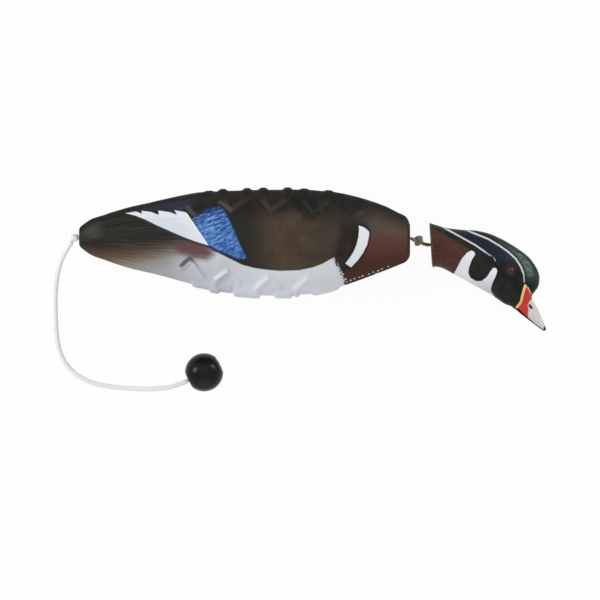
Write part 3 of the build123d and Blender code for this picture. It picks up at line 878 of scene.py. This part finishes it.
# %% Turn the ball
hole_radius, recess_radius, recess_floor = 2.7, 6.2, ball_flat - 12.5
flat_radius = math.sqrt(ball_radius**2 - ball_flat**2)
arc_start = math.acos(ball_flat / ball_radius)
profile = [(-ball_flat + 0.5, hole_radius), (-ball_flat, hole_radius + 0.5),
           (-ball_flat, flat_radius - 0.5)]
profile += [(-ball_radius * math.cos(a), ball_radius * math.sin(a))
            for a in np.linspace(arc_start + 0.03, math.pi - arc_start - 0.03, 60)]
profile += [(ball_flat, flat_radius - 0.5), (ball_flat, recess_radius + 0.25),
            (ball_flat - 0.3, recess_radius), (recess_floor, recess_radius), (recess_floor, hole_radius)]
ball_around = round_about(*square_to(ball_along, (0, 0, 1.0)), 96)
ball_rings = [ball_centre + along * ball_along + radius * ball_around for along, radius in profile]
ball = skin_rings("rubber_ball", ball_rings, join_ends=True)
ball.data.set_sharp_from_angle(angle=math.radians(40))
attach(ball, "ball")
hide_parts("throw_ball")
print("ball:", 2 * ball_radius, "mm across,", round(2 * flat_radius, 1), "mm flats")

# %% [markdown]
# ## Mixing paint
# The finishes are built from nodes. The helpers below keep each recipe short: one adds a node, one
# reads a tape, one fades a number in or out, and one sprays a colour over what is there already.
# Each of them works in the material that its first input comes from. Colours are written as a
# paint chart gives them, from 0 to 255, and turned into linear numbers.


# %% Paint helpers
def new_finish(name, **shader_numbers):
    """A material whose shader has these numbers all over."""
    finish = bpy.data.materials.new(name)
    finish.use_nodes = True
    shader = finish.node_tree.nodes["Principled BSDF"]
    for socket, number in shader_numbers.items():
        shader.inputs[socket.replace("_", " ")].default_value = number
    return finish


def add(home, kind, options=None, **inputs):
    """A node beside home, which is a material, the world or a socket in one of them.

    An input is called by its name or, after an underscore, by its number."""
    tree = getattr(home, "node_tree", None) or home.id_data
    made = tree.nodes.new("ShaderNode" + kind)
    for option, value in (options or {}).items():
        setattr(made, option, value)
    for name, value in inputs.items():
        name = name.replace("_", " ").strip()
        socket = made.inputs[int(name) if name.isdigit() else name]
        if isinstance(value, bpy.types.NodeSocket):
            tree.links.new(value, socket)
        else:
            socket.default_value = value
    return made


def read_tape(finish, name):
    """The number that a tape keeps."""
    return add(finish, "Attribute", {"attribute_name": name}).outputs["Fac"]


def fade(number, low, high, to_low=0.0, to_high=1.0):
    """From one strength at low to another at high, with no corner at either end."""
    span = add(number, "MapRange", {"interpolation_type": "SMOOTHSTEP"}, Value=number,
               From_Min=low, From_Max=high, To_Min=to_low, To_Max=to_high)
    return span.outputs["Result"]


def inside_tape(finish, name, soft):
    """1 inside a taped shape and 0 outside it, across an edge this many millimetres soft."""
    return fade(read_tape(finish, name), -soft, soft)


def both(first, second, way="MULTIPLY"):
    """Two numbers made into one: their product, unless the way says otherwise."""
    return add(first, "Math", {"operation": way}, _0=first, _1=second).outputs[0]


def roughen(distance, mottling, reach):
    """A distance that mottling moves by up to the reach, for a ragged edge."""
    return both(distance, fade(mottling, 0.3, 0.7, -reach, reach), "ADD")


def linear(colour):
    """A paint chart's colour as a node wants it. A colour that nodes made stays as it is."""
    if isinstance(colour, bpy.types.NodeSocket):
        return colour
    share = np.array(colour) / 255
    linear_share = np.where(share <= 0.04045, share / 12.92, ((share + 0.055) / 1.055) ** 2.4)
    return (*(float(v) for v in linear_share), 1.0)


def spray(under, over, where):
    """One colour over another, where the strength says."""
    layer = add(where, "Mix", {"data_type": "RGBA"}, _0=where, _6=linear(under), _7=linear(over))
    return layer.outputs[2]


def coats(colour, *layers):
    """A colour with others sprayed over it in turn. Each layer is a colour and where it goes."""
    for over, where in layers:
        colour = spray(colour, over, where)
    return colour


def in_mm(finish, stretch=(1, 1, 1), turn=0.0):
    """The place on the duck in millimetres, turned and stretched for a grain that runs one way."""
    here = add(finish, "TexCoord").outputs["Object"]
    sized = add(finish, "Mapping", {"vector_type": "TEXTURE"}, Vector=here, Rotation=(0, 0, turn),
                Scale=tuple(MM / s for s in stretch))
    return sized.outputs["Vector"]


def part_of(place, axis):
    """One number of a place: its X, Y or Z."""
    return add(place, "SeparateXYZ", Vector=place).outputs[axis]


def place_from(x, y, z=0.0):
    return add(x, "CombineXYZ", X=x, Y=y, Z=z).outputs[0]


def distance(place, point):
    return add(place, "VectorMath", {"operation": "DISTANCE"}, _0=place, _1=point).outputs["Value"]


def mottle(place, size, detail=3.0, rough=0.55):
    """Soft mottling whose blotches are this many millimetres across."""
    cloud = add(place, "TexNoise", Vector=place, Scale=1 / size, Detail=detail, Roughness=rough)
    return cloud.outputs["Fac"]


def finish_with(finish, colour, roughness=None, grain=None, depth=0.0, strength=1.0):
    """Join a colour, a roughness and a fine relief of a depth in millimetres up to the shader."""
    joined = {"Base Color": colour, "Roughness": roughness}
    if grain:
        bump = add(grain, "Bump", Height=grain, Distance=depth * MM, Strength=strength)
        joined["Normal"] = bump.outputs["Normal"]
    shader = finish.node_tree.nodes["Principled BSDF"]
    for name, value in joined.items():
        if value:
            finish.node_tree.links.new(value, shader.inputs[name])


print("paint helpers ready")

# %% [markdown]
# ## The painted foam
# The foam is sprayed satin paint over a fine closed skin. The coats go on from the back to the
# front: dark back, brown side, dark tail, pale belly, then the wing's panels, the bars and the
# breast. Streaks run lengthwise, because their mottling is laid out by the angle round the body.

# %% Plumage: back, side and tail
plumage = new_finish("painted_foam", Specular_IOR_Level=0.05)
body_place = in_mm(plumage)
along_body, up_body = part_of(body_place, "X"), part_of(body_place, "Y")
from_back, from_edge = read_tape(plumage, "from_back"), read_tape(plumage, "pale_belly")
soft_blotches = mottle(body_place, 26, 4)
fine_barring = mottle(in_mm(plumage, (0.9, 0.22, 0.4), 0.35), 2.2, 4, 0.6)
fan_place = place_from(read_tape(plumage, "fan"), both(along_body, 0.02))
streaks, wide_streaks = mottle(fan_place, 1.1, 3, 0.65), mottle(fan_place, 4.0, 2, 0.5)
side_brown = coats(
    (66, 56, 47),
    ((81, 67, 54), fade(soft_blotches, 0.35, 0.65)),
    ((54, 47, 40), fade(fine_barring, 0.5, 0.72, 0, 0.4)),
    ((43, 43, 40), fade(along_body, -31, 12, 1, 0)))
back_dark = spray((31, 29, 27), (41, 38, 34), fade(soft_blotches, 0.4, 0.6))
tail_dark = coats(
    (42, 41, 37),
    ((78, 74, 72), fade(streaks, 0.5, 0.7, 0, 0.9)),
    ((28, 28, 27), fade(wide_streaks, 0.5, 0.66, 0, 0.75)))
# A painted highlight on the tail's tip, broken up by the streaks.
tail_tip_painted_highlight = fade(distance(place_from(along_body, up_body), (-180, 8, 0)), 2, 16, 0.6, 0)
purple = spray((46, 43, 60), (58, 59, 88), fade(streaks, 0.45, 0.7))
coat = coats(
    side_brown,
    (back_dark, fade(roughen(from_back, soft_blotches, 3), 15, 38, 1, 0)),
    (tail_dark, fade(along_body, -92, -70, 1, 0)),
    ((92, 88, 86), both(tail_tip_painted_highlight, fade(streaks, 0.35, 0.65, 0.3, 1))),
    (purple, both(inside_tape(plumage, "purple_back", 6.0), fade(from_back, 1, 9))))
print("first coats on:", len(plumage.node_tree.nodes), "nodes")

# %% [markdown]
# The belly meets the tail in a long soft blend, from brown through tan to cream. Further forward
# the brown turns pale sooner, so the blend's distance grows along the body.

# %% Plumage: belly and the blend under the tail
forward = both(both(along_body, 132.0, "ADD"), 1 / 6)
blend = roughen(both(from_edge, forward, "ADD"), streaks, 5)
belly = coats(
    (192, 196, 203),
    ((206, 209, 215), fade(soft_blotches, 0.35, 0.65)),
    ((220, 224, 230), fade(along_body, -50, -12, 0, 0.75)))
blend_tones = [
    ((77, 67, 58), -7, 3), ((108, 95, 86), 3, 8), ((131, 122, 112), 8, 13),
    ((152, 148, 143), 12, 19), ((171, 171, 175), 18, 30),
]
rust = both(both(fade(blend, -5, 3), fade(blend, 14, 7)), fade(along_body, -158, -124, 0.42, 0))
under_tail = coats(
    tail_dark,
    *((tone, fade(blend, start, full)) for tone, start, full in blend_tones),
    ((66, 59, 54), both(fade(streaks, 0.55, 0.7, 0, 0.34), fade(from_edge, -2, 8))),
    ((102, 70, 46), rust),
    (belly, both(fade(along_body, -112, -66), fade(from_edge, 2, 14))))
front_end = both(fade(along_body, 60, 66), fade(fine_barring, 0.3, 0.7, -2.5, 2.5))
maroon = spray((112, 68, 74), (90, 68, 70), fade(streaks, 0.42, 0.62))
maroon_edge = roughen(read_tape(plumage, "maroon_patch"), streaks, 1.2)
coat = coats(
    coat,
    (belly, fade(both(from_edge, front_end, "ADD"), -0.7, 0.7)),
    (under_tail, both(fade(along_body, -66, -60, 1, 0), fade(from_edge, -9, -5))),
    (maroon, fade(maroon_edge, -5.5, 4, 0, 0.92)),
    # slate painted shadow under the white wing's lower edge
    ((54, 56, 62), fade(read_tape(plumage, "shadow_under_white_wing"), 1.2, 4.6, 0.85, 0)))

# %% Plumage: painted shadow and highlights on the grips, and paler raised grips
# Painted shadow in the groove above the short grip.
groove_shadow = both(inside_tape(plumage, "painted_groove_shadow", 1.0), fade(along_body, -84, -72, 0.85, 0.3))
# The raised grips on the back are a little paler.
paler_raised_grips = both(fade(read_tape(plumage, "grip_relief"), 0.8, 1.7, 0, 0.24),
                  both(fade(up_body, 12, 18), fade(from_back, 8, 14)))
coat = coats(
    coat,
    ((70, 66, 67), groove_shadow),
    # painted highlights on the grips under the wing
    ((236, 239, 243), both(inside_tape(plumage, "painted_belly_highlights", 1.4), 0.6)),
    ((92, 84, 80), paler_raised_grips),
    # painted highlights on two back grips and on the black bar
    ((104, 98, 104), both(inside_tape(plumage, "painted_arm_highlights", 1.6), 0.36)))

# %% [markdown]
# The blue panel is the wing's bright feather field. Its shine changes in fine wavy lines that
# follow the feathers' ends, dark at the top and the rim, and bright in the middle. The white wing
# patch has faint grey barbs.

# %% Plumage: wing panels
barbs = add(plumage, "TexWave", {"bands_direction": "Y"}, Scale=0.068, Distortion=3.5, Detail=3.0,
            Detail_Scale=0.9, Vector=in_mm(plumage, (1, 1, 0.2), math.radians(15))).outputs["Fac"]
shimmer = mottle(in_mm(plumage, (0.34, 1.0, 0.6), math.radians(32)), 1.9, 3, 0.6)
from_rim, from_side = read_tape(plumage, "blue_rim"), read_tape(plumage, "wing_side")
toward_tip = both(up_body, both(both(along_body, 57.0, "ADD"), -0.3), "ADD")
blue = coats(
    (46, 80, 140),
    ((92, 138, 204), fade(shimmer, 0.34, 0.64)),
    ((118, 166, 226), both(fade(from_rim, 5, 18, 0.2, 0.8), fade(shimmer, 0.44, 0.6))),
    ((34, 54, 108), both(fade(barbs, 0.34, 0.04), fade(up_body, 0, 20, 0.12, 0.9))),
    ((32, 38, 66), fade(toward_tip, 20, 32, 0, 0.82)),
    ((36, 40, 58), fade(from_rim, 0.3, 2.4, 0.92, 0)))
white = coats(
    (206, 214, 226),
    ((220, 226, 236), fade(streaks, 0.38, 0.66)),
    ((234, 238, 243), fade(up_body, 17, 24, 0, 0.5)),
    ((228, 232, 236), fade(from_side, 3, 16, 0.7, 0)),
    ((242, 243, 246), fade(from_side, 0.6, 1.6, 0.9, 0)))
coat = coats(
    coat,
    (blue, inside_tape(plumage, "blue_wing", 0.5)),
    (white, inside_tape(plumage, "white_wing", 0.4)))

# %% Plumage: bars and breast
bar_black = spray((38, 37, 33), (50, 48, 43), fade(soft_blotches, 0.4, 0.65))
before_bar = both(both(fade(along_body, 50, 74), fade(from_edge, 0.5, -1.5)), 0.6)
bar_here = both(inside_tape(plumage, "black_bar", 4.0), fade(up_body, 12, 27, 1, 0.35))
below_back = fade(from_back, 6, 20)
breast_grain = mottle(in_mm(plumage, (0.12, 1, 1)), 1.6, 3, 0.6)
upper_breast = spray((80, 70, 61), (90, 75, 64), fade(along_body, 92, 128))
breast = coats(
    (88, 58, 49),
    ((70, 44, 34), fade(up_body, -6, -26)),
    ((98, 68, 60), fade(breast_grain, 0.5, 0.72, 0, 0.5)),
    (upper_breast, fade(roughen(up_body, breast_grain, 4), -4.5, 7)),
    ((38, 33, 29), fade(from_back, 3, 24, 0.85, 0)),
    # painted shade along the breast's lower outline
    ((26, 18, 15), fade(read_tape(plumage, "from_belly"), 0.8, 3.6, 0.8, 0)))
low_breast = both(fade(up_body, -27, -33), fade(fine_barring, 0.3, 0.7, -3, 3))
breast_edge = both(both(read_tape(plumage, "chestnut_breast"), low_breast, "ADD"),
                   fade(up_body, 4, 20, 1, 0.12))
white_bar = read_tape(plumage, "white_bar")
coat = coats(
    coat,
    (bar_black, both(before_bar, below_back)),
    (bar_black, both(bar_here, below_back)),
    (breast, fade(breast_edge, -1.4, 1.4)),
    # painted shade at the front end of the foam
    ((22, 18, 15), fade(read_tape(plumage, "from_breast"), 0.5, 5, 0.7, 0)),
    # painted shade along the back's outline
    ((19, 18, 17), fade(from_back, 1.5, 8, 0.8, 0)),
    ((36, 34, 31), both(fade(white_bar, -2.6, -1.0, 0, 0.85), fade(white_bar, -0.2, 0.6, 1, 0))),
    ((226, 231, 236), fade(white_bar, -0.4, 0.4)))

# %% [markdown]
# Small white spots edge the breast. Each is measured in space from its own place on the skin, so
# that it stays round where the breast curves under. One distance serves both flanks, because it
# counts sideways from the middle. Sideways counts half.

# %% Plumage: breast spots
breast_spots = [
    (116.1, -28.6), (109.9, -31), (106.1, -32.8), (101.1, -34.2), (96.8, -36.2), (90.5, -38.1),
    (87.4, -39.3), (82.4, -40.7), (78.6, -42.4), (74.9, -43.8), (93.8, -39.6), (104, -35.4),
    (71.1, -36.3), (69.3, -34.2), (73.4, -41.2), (70.2, -38.9),
]
sideways = 0.5
from_middle = both(part_of(body_place, "Z"), -core_height, "ADD")
from_middle = add(from_middle, "Math", {"operation": "ABSOLUTE"}, _0=from_middle).outputs[0]
spot_place = place_from(along_body, up_body, both(from_middle, sideways))
from_spots = []
for i, (spot_x, spot_y) in enumerate(breast_spots):
    back, belly_depth_here, side = body_size(spot_x)[0]
    level = (spot_y - (back - belly_depth_here) / 2) / ((back + belly_depth_here) / 2)
    spot_side = float(side * math.sqrt(max(0.0, 1 - level**2)))
    radius = (0.8 if i < 12 else 0.9) + 0.12 * (i * 7 % 3)
    away = distance(spot_place, (spot_x, spot_y, spot_side * sideways))
    from_spots.append(both(away, -radius, "ADD"))
nearest_spot = from_spots[0]
for from_spot in from_spots[1:]:
    nearest_spot = both(nearest_spot, from_spot, "MINIMUM")
coat = spray(coat, (214, 206, 198), fade(nearest_spot, -0.3, 0.3, 1, 0))
satin = fade(mottle(body_place, 9, 3), 0.3, 0.7, 0.56, 0.68)
skin_grain = both(mottle(body_place, 0.55, 2), both(streaks, 0.35), "ADD")
finish_with(plumage, coat, satin, skin_grain, 0.12, 0.55)
foam_body.data.materials.append(plumage)
print("plumage finish:", len(plumage.node_tree.nodes), "nodes")

# %% [markdown]
# ## The painted head
# The hard head is painted with a brush and masks, in a harder enamel. The black face goes on
# first, then the navy crest, the green crown, the chestnut neck and the white throat. The thin
# lines, a dark red lid and the bill come last. Enamel on plastic is smoother than paint on foam,
# and shows a little orange peel.

# %% Head enamel
enamel = new_finish("head_enamel", Specular_IOR_Level=0.07)
head_here = in_mm(enamel)
up_head = part_of(head_here, "Y")
cloudy = mottle(head_here, 12, 4)
barbules = mottle(in_mm(enamel, (0.3, 1, 0.7), math.radians(-38)), 1.2, 3, 0.6)
from_crest, from_ridge = read_tape(enamel, "crown"), read_tape(enamel, "from_ridge")
navy = spray((24, 29, 38), (40, 46, 60), fade(barbules, 0.42, 0.68))
# A painted highlight along the middle of the green crest.
crest_painted_highlight = both(both(fade(from_crest, 2.0, 5.0), fade(from_crest, 13, 7)),
                   both(fade(up_head, 2, -14, 0.2, 1), fade(up_head, -46, -30)))
green = coats(
    (34, 50, 41),
    ((52, 72, 60), fade(barbules, 0.35, 0.66)),
    ((122, 144, 128), both(crest_painted_highlight, fade(barbules, 0.4, 0.7, 0.15, 0.8))),
    ((20, 27, 24), fade(from_crest, 0.3, 3.0, 0.95, 0)),
    ((20, 26, 23), fade(up_head, -36, -49, 0, 0.85)),
    ((24, 30, 27), fade(up_head, 2, -12, 0.75, 0)))
chestnut = coats(
    (72, 47, 36),
    ((90, 62, 51), fade(barbules, 0.4, 0.68)),
    # painted shade along the neck's lower outline
    ((38, 26, 20), fade(from_ridge, 148, 168, 0, 0.7)),
    ((60, 42, 33), fade(cloudy, 0.5, 0.75, 0, 0.7)))
throat = spray((231, 234, 241), (194, 195, 198), fade(up_head, -34, -56))
lid_shape = np.array([0.8, 1.0])  # wider than it is tall
squeezed = add(head_here, "VectorMath", {"operation": "MULTIPLY"}, _0=head_here, _1=(*lid_shape, 0))
eye_away = distance(squeezed.outputs[0], (*(eye_side[:2] * lid_shape), 0))
lid = both(fade(eye_away, 3.0, 6.4, 0.8, 0), fade(cloudy, 0.35, 0.6, 0.5, 1))
line_white = (208, 213, 224)
head_coat = coats(
    (26, 26, 25),
    ((40, 39, 37), fade(cloudy, 0.38, 0.66)),
    (navy, inside_tape(enamel, "navy_crest", 3.0)),
    (green, inside_tape(enamel, "crown", 0.5)),
    # painted shade along the head's top outline
    ((20, 21, 21), fade(from_ridge, 18, 36, 0.92, 0)),
    (chestnut, inside_tape(enamel, "chestnut_neck", 1.3)),
    (throat, inside_tape(enamel, "white_throat", 0.45)),
    (line_white, inside_tape(enamel, "cheek_line", 0.4)),
    (line_white, inside_tape(enamel, "crest_line", 0.4)),
    ((72, 38, 38), lid))
print("head coats on:", len(enamel.node_tree.nodes), "nodes")

# %% Bill enamel
cream = spray((202, 197, 193), (214, 211, 206), fade(barbules, 0.4, 0.65))
bill_tones = [
    ("bill_red", (203, 58, 62), 0.5), ("bill_ridge", (46, 48, 62), 0.5),
    ("lower_bill", (26, 23, 24), 0.4), ("nostril", (28, 28, 30), 0.3), ("bill_tip", (30, 29, 31), 0.8),
]
bill_coat = coats(cream, *((tone, inside_tape(enamel, name, soft)) for name, tone, soft in bill_tones))
head_coat = coats(
    head_coat,
    (bill_coat, inside_tape(enamel, "bill", 0.3)),
    ((236, 205, 124), inside_tape(enamel, "bill_rim", 0.35)))
orange_peel = both(mottle(head_here, 1.1, 2), both(barbules, 0.4), "ADD")
finish_with(enamel, head_coat, fade(cloudy, 0.3, 0.7, 0.34, 0.44), orange_peel, 0.08, 0.4)
hard_head.data.materials.append(enamel)
print("head enamel:", len(enamel.node_tree.nodes), "nodes")

# %% [markdown]
# The neck plate closes the neck. It is the CAD part itself, painted like the neck round its rim:
# black at the nape and chestnut below. The eye is a bead of clear-coated dark red.

# %% Neck plate and eyes
plate_paint = new_finish("neck_plate_enamel", Specular_IOR_Level=0.2, Coat_Weight=0.04)
plate_here = in_mm(plate_paint)
plate_cloud = mottle(plate_here, 6, 4)
plate_coat = coats(
    (70, 47, 37),
    ((88, 61, 50), fade(plate_cloud, 0.35, 0.65)),
    ((34, 33, 33), fade(part_of(plate_here, "Y"), 8.5, 11.5)))
finish_with(plate_paint, plate_coat, fade(plate_cloud, 0.3, 0.7, 0.38, 0.5),
            mottle(plate_here, 1.0, 2), 0.06, 0.4)

eye_gloss = new_finish("eye_gloss", Specular_IOR_Level=0.2, Coat_Weight=0.25, Coat_Roughness=0.12)
from_pupil = read_tape(eye_gloss, "from_pupil")
eye_cloud = mottle(in_mm(eye_gloss), 0.9, 3)
eye_coat = coats(
    (56, 22, 22),
    ((80, 33, 32), fade(eye_cloud, 0.4, 0.65)),
    ((17, 13, 13), fade(from_pupil, 1.1, 1.9, 1, 0)),
    ((40, 26, 27), fade(from_pupil, 2.3, 3.4)))
finish_with(eye_gloss, eye_coat, fade(eye_cloud, 0.3, 0.7, 0.2, 0.28))
for eye_bead in eyes:
    eye_bead.data.materials.append(eye_gloss)
print("eyes and plate painted")

# %% [markdown]
# ## Cord, rubber, plastic and steel
# The throw cord is off-white nylon, a little grey in its valleys. The neck cord is older and
# grey-brown. The ball's rubber is near black with a dull shine. The tube and its bushes are
# black polypropylene, and the washers are plain bright steel.


# %% Hard and cord finishes
def cord_finish(name, light, dark, sheen):
    """Braided cord: fine fibres along the strands, darker where dirt gathers."""
    finish = new_finish(name, Specular_IOR_Level=0.15, Sheen_Weight=sheen, Sheen_Roughness=0.5)
    here = in_mm(finish)
    fibres, dirt = mottle(here, 0.5, 3, 0.7), mottle(here, 5.0, 3)
    coat = coats(light, (dark, fade(fibres, 0.5, 0.8, 0, 0.6)), (dark, fade(dirt, 0.5, 0.75, 0, 0.4)))
    finish_with(finish, coat, fade(fibres, 0.3, 0.7, 0.6, 0.8), fibres, 0.04, 0.4)
    return finish


def hard_finish(name, light, dark, shine, size, depth, **numbers):
    """Moulded plastic, rubber or metal: slight clouding, a fine skin and uneven shine."""
    finish = new_finish(name, **numbers)
    here = in_mm(finish)
    cloud, grain = mottle(here, size * 8, 4), mottle(here, size, 2)
    coat = spray(dark, light, fade(cloud, 0.35, 0.65))
    finish_with(finish, coat, fade(cloud, 0.3, 0.7, *shine), grain, depth, 0.5)
    return finish


white_nylon = cord_finish("white_nylon_braid", (236, 234, 229), (222, 219, 213), 0.1)
brown_nylon = cord_finish("brown_nylon_braid", (124, 116, 101), (72, 66, 57), 0.05)
black_rubber = hard_finish("black_rubber", (9, 9, 10), (5, 5, 6), (0.21, 0.27), 1.2, 0.03,
                           Specular_IOR_Level=0.16)
black_plastic = hard_finish("black_plastic", (40, 40, 42), (28, 28, 29), (0.38, 0.5), 0.8, 0.04)
washer_steel = hard_finish("washer_steel", (190, 190, 188), (160, 160, 160), (0.28, 0.4), 0.4, 0.02,
                           Metallic=1.0)
ball.data.materials.append(black_rubber)
for node, piece in (tied | runs | {"throw_cord": throw_cord}).items():
    is_neck_cord = node.startswith(("neck", "breast", "head"))
    piece.data.materials.append(brown_nylon if is_neck_cord else white_nylon)
kept_nodes = {
    "core_tube": black_plastic, "breast_bush": black_plastic, "tail_bush": black_plastic,
    "neck_plate": plate_paint, "breast_washer": washer_steel, "tail_washer": washer_steel,
    "head_washer": washer_steel,
}
for node, finish in kept_nodes.items():
    for place in frame["nodes"][node].material_slots:
        place.material = finish
print("finishes:", [m.name for m in bpy.data.materials if m.users])

# %% [markdown]
# ## Studio
# The duck lies on plain white card, under a white tent with four soft boxes: overhead, left, right
# and at the belly's side. Card and tent look pure white to the camera and in reflections. The tent
# gives the duck half that light, and the card still takes a faint shadow, so that the duck rests
# on it.


# %% Card
def seen_directly(home):
    """1 for rays from the camera, off gloss or through something clear, and 0 for the rest."""
    rays = add(home, "LightPath").outputs
    seen = both(rays["Is Camera Ray"], rays["Is Glossy Ray"], "MAXIMUM")
    return both(seen, rays["Is Transmission Ray"], "MAXIMUM")


card = bpy.data.meshes.new("white_card")
reach, below_duck = 3.0, -0.0004
corners = [(side_x * reach, side_y * reach, below_duck)
           for side_x, side_y in ((-1, -1), (1, -1), (1, 1), (-1, 1))]
card.from_pydata(corners, [], [(0, 1, 2, 3)])
white_card = bpy.data.objects.new("white_card", card)
bpy.context.scene.collection.objects.link(white_card)
card_finish = new_finish("white_card", Roughness=0.9, Specular_IOR_Level=0.1)
finish_with(card_finish, spray((244, 244, 244), (240, 240, 240), mottle(in_mm(card_finish), 3.0, 2)))
card_nodes = card_finish.node_tree.nodes
glow = add(card_finish, "Emission", Color=(1, 1, 1, 1), Strength=1.0)
blend = add(card_finish, "MixShader", _0=both(seen_directly(card_finish), 0.95),
            _1=card_nodes["Principled BSDF"].outputs[0], _2=glow.outputs[0])
card_finish.node_tree.links.new(blend.outputs[0], card_nodes["Material Output"].inputs["Surface"])
card.materials.append(card_finish)
print("card:", 2 * reach, "m square")

# %% Lamps and sky
sky = bpy.data.worlds.new("white_tent")
bpy.context.scene.world = sky
sky.use_nodes = True
sky_light = sky.node_tree.nodes["Background"]
sky_light.inputs["Color"].default_value = (1, 1, 1, 1)
tent_strength = fade(seen_directly(sky), 0, 1, 0.5, 1.0)
sky.node_tree.links.new(tent_strength, sky_light.inputs["Strength"])


def soft_box(name, place, aim, size, watts):
    """A square soft lamp that looks at a point."""
    light = bpy.data.lights.new(name, "AREA")
    light.size, light.energy = size, watts
    lamp = bpy.data.objects.new(name, light)
    lamp.location = place
    away = np.array(place) - np.array(aim)
    lamp.rotation_euler = Vector(away).to_track_quat("Z", "Y").to_euler()
    bpy.context.scene.collection.objects.link(lamp)


soft_box("overhead_box", (0.0, 0.25, 1.7), (0, 0, 0), 1.5, 3.5)
soft_box("left_box", (-1.25, 0.19, 0.78), (0, -0.05, 0), 0.5, 8)
soft_box("right_box", (1.05, 0.65, 0.52), (0, -0.05, 0), 0.5, 6)
soft_box("belly_panel", (0.0, -1.4, 0.7), (0, 0, 0), 1.6, 5)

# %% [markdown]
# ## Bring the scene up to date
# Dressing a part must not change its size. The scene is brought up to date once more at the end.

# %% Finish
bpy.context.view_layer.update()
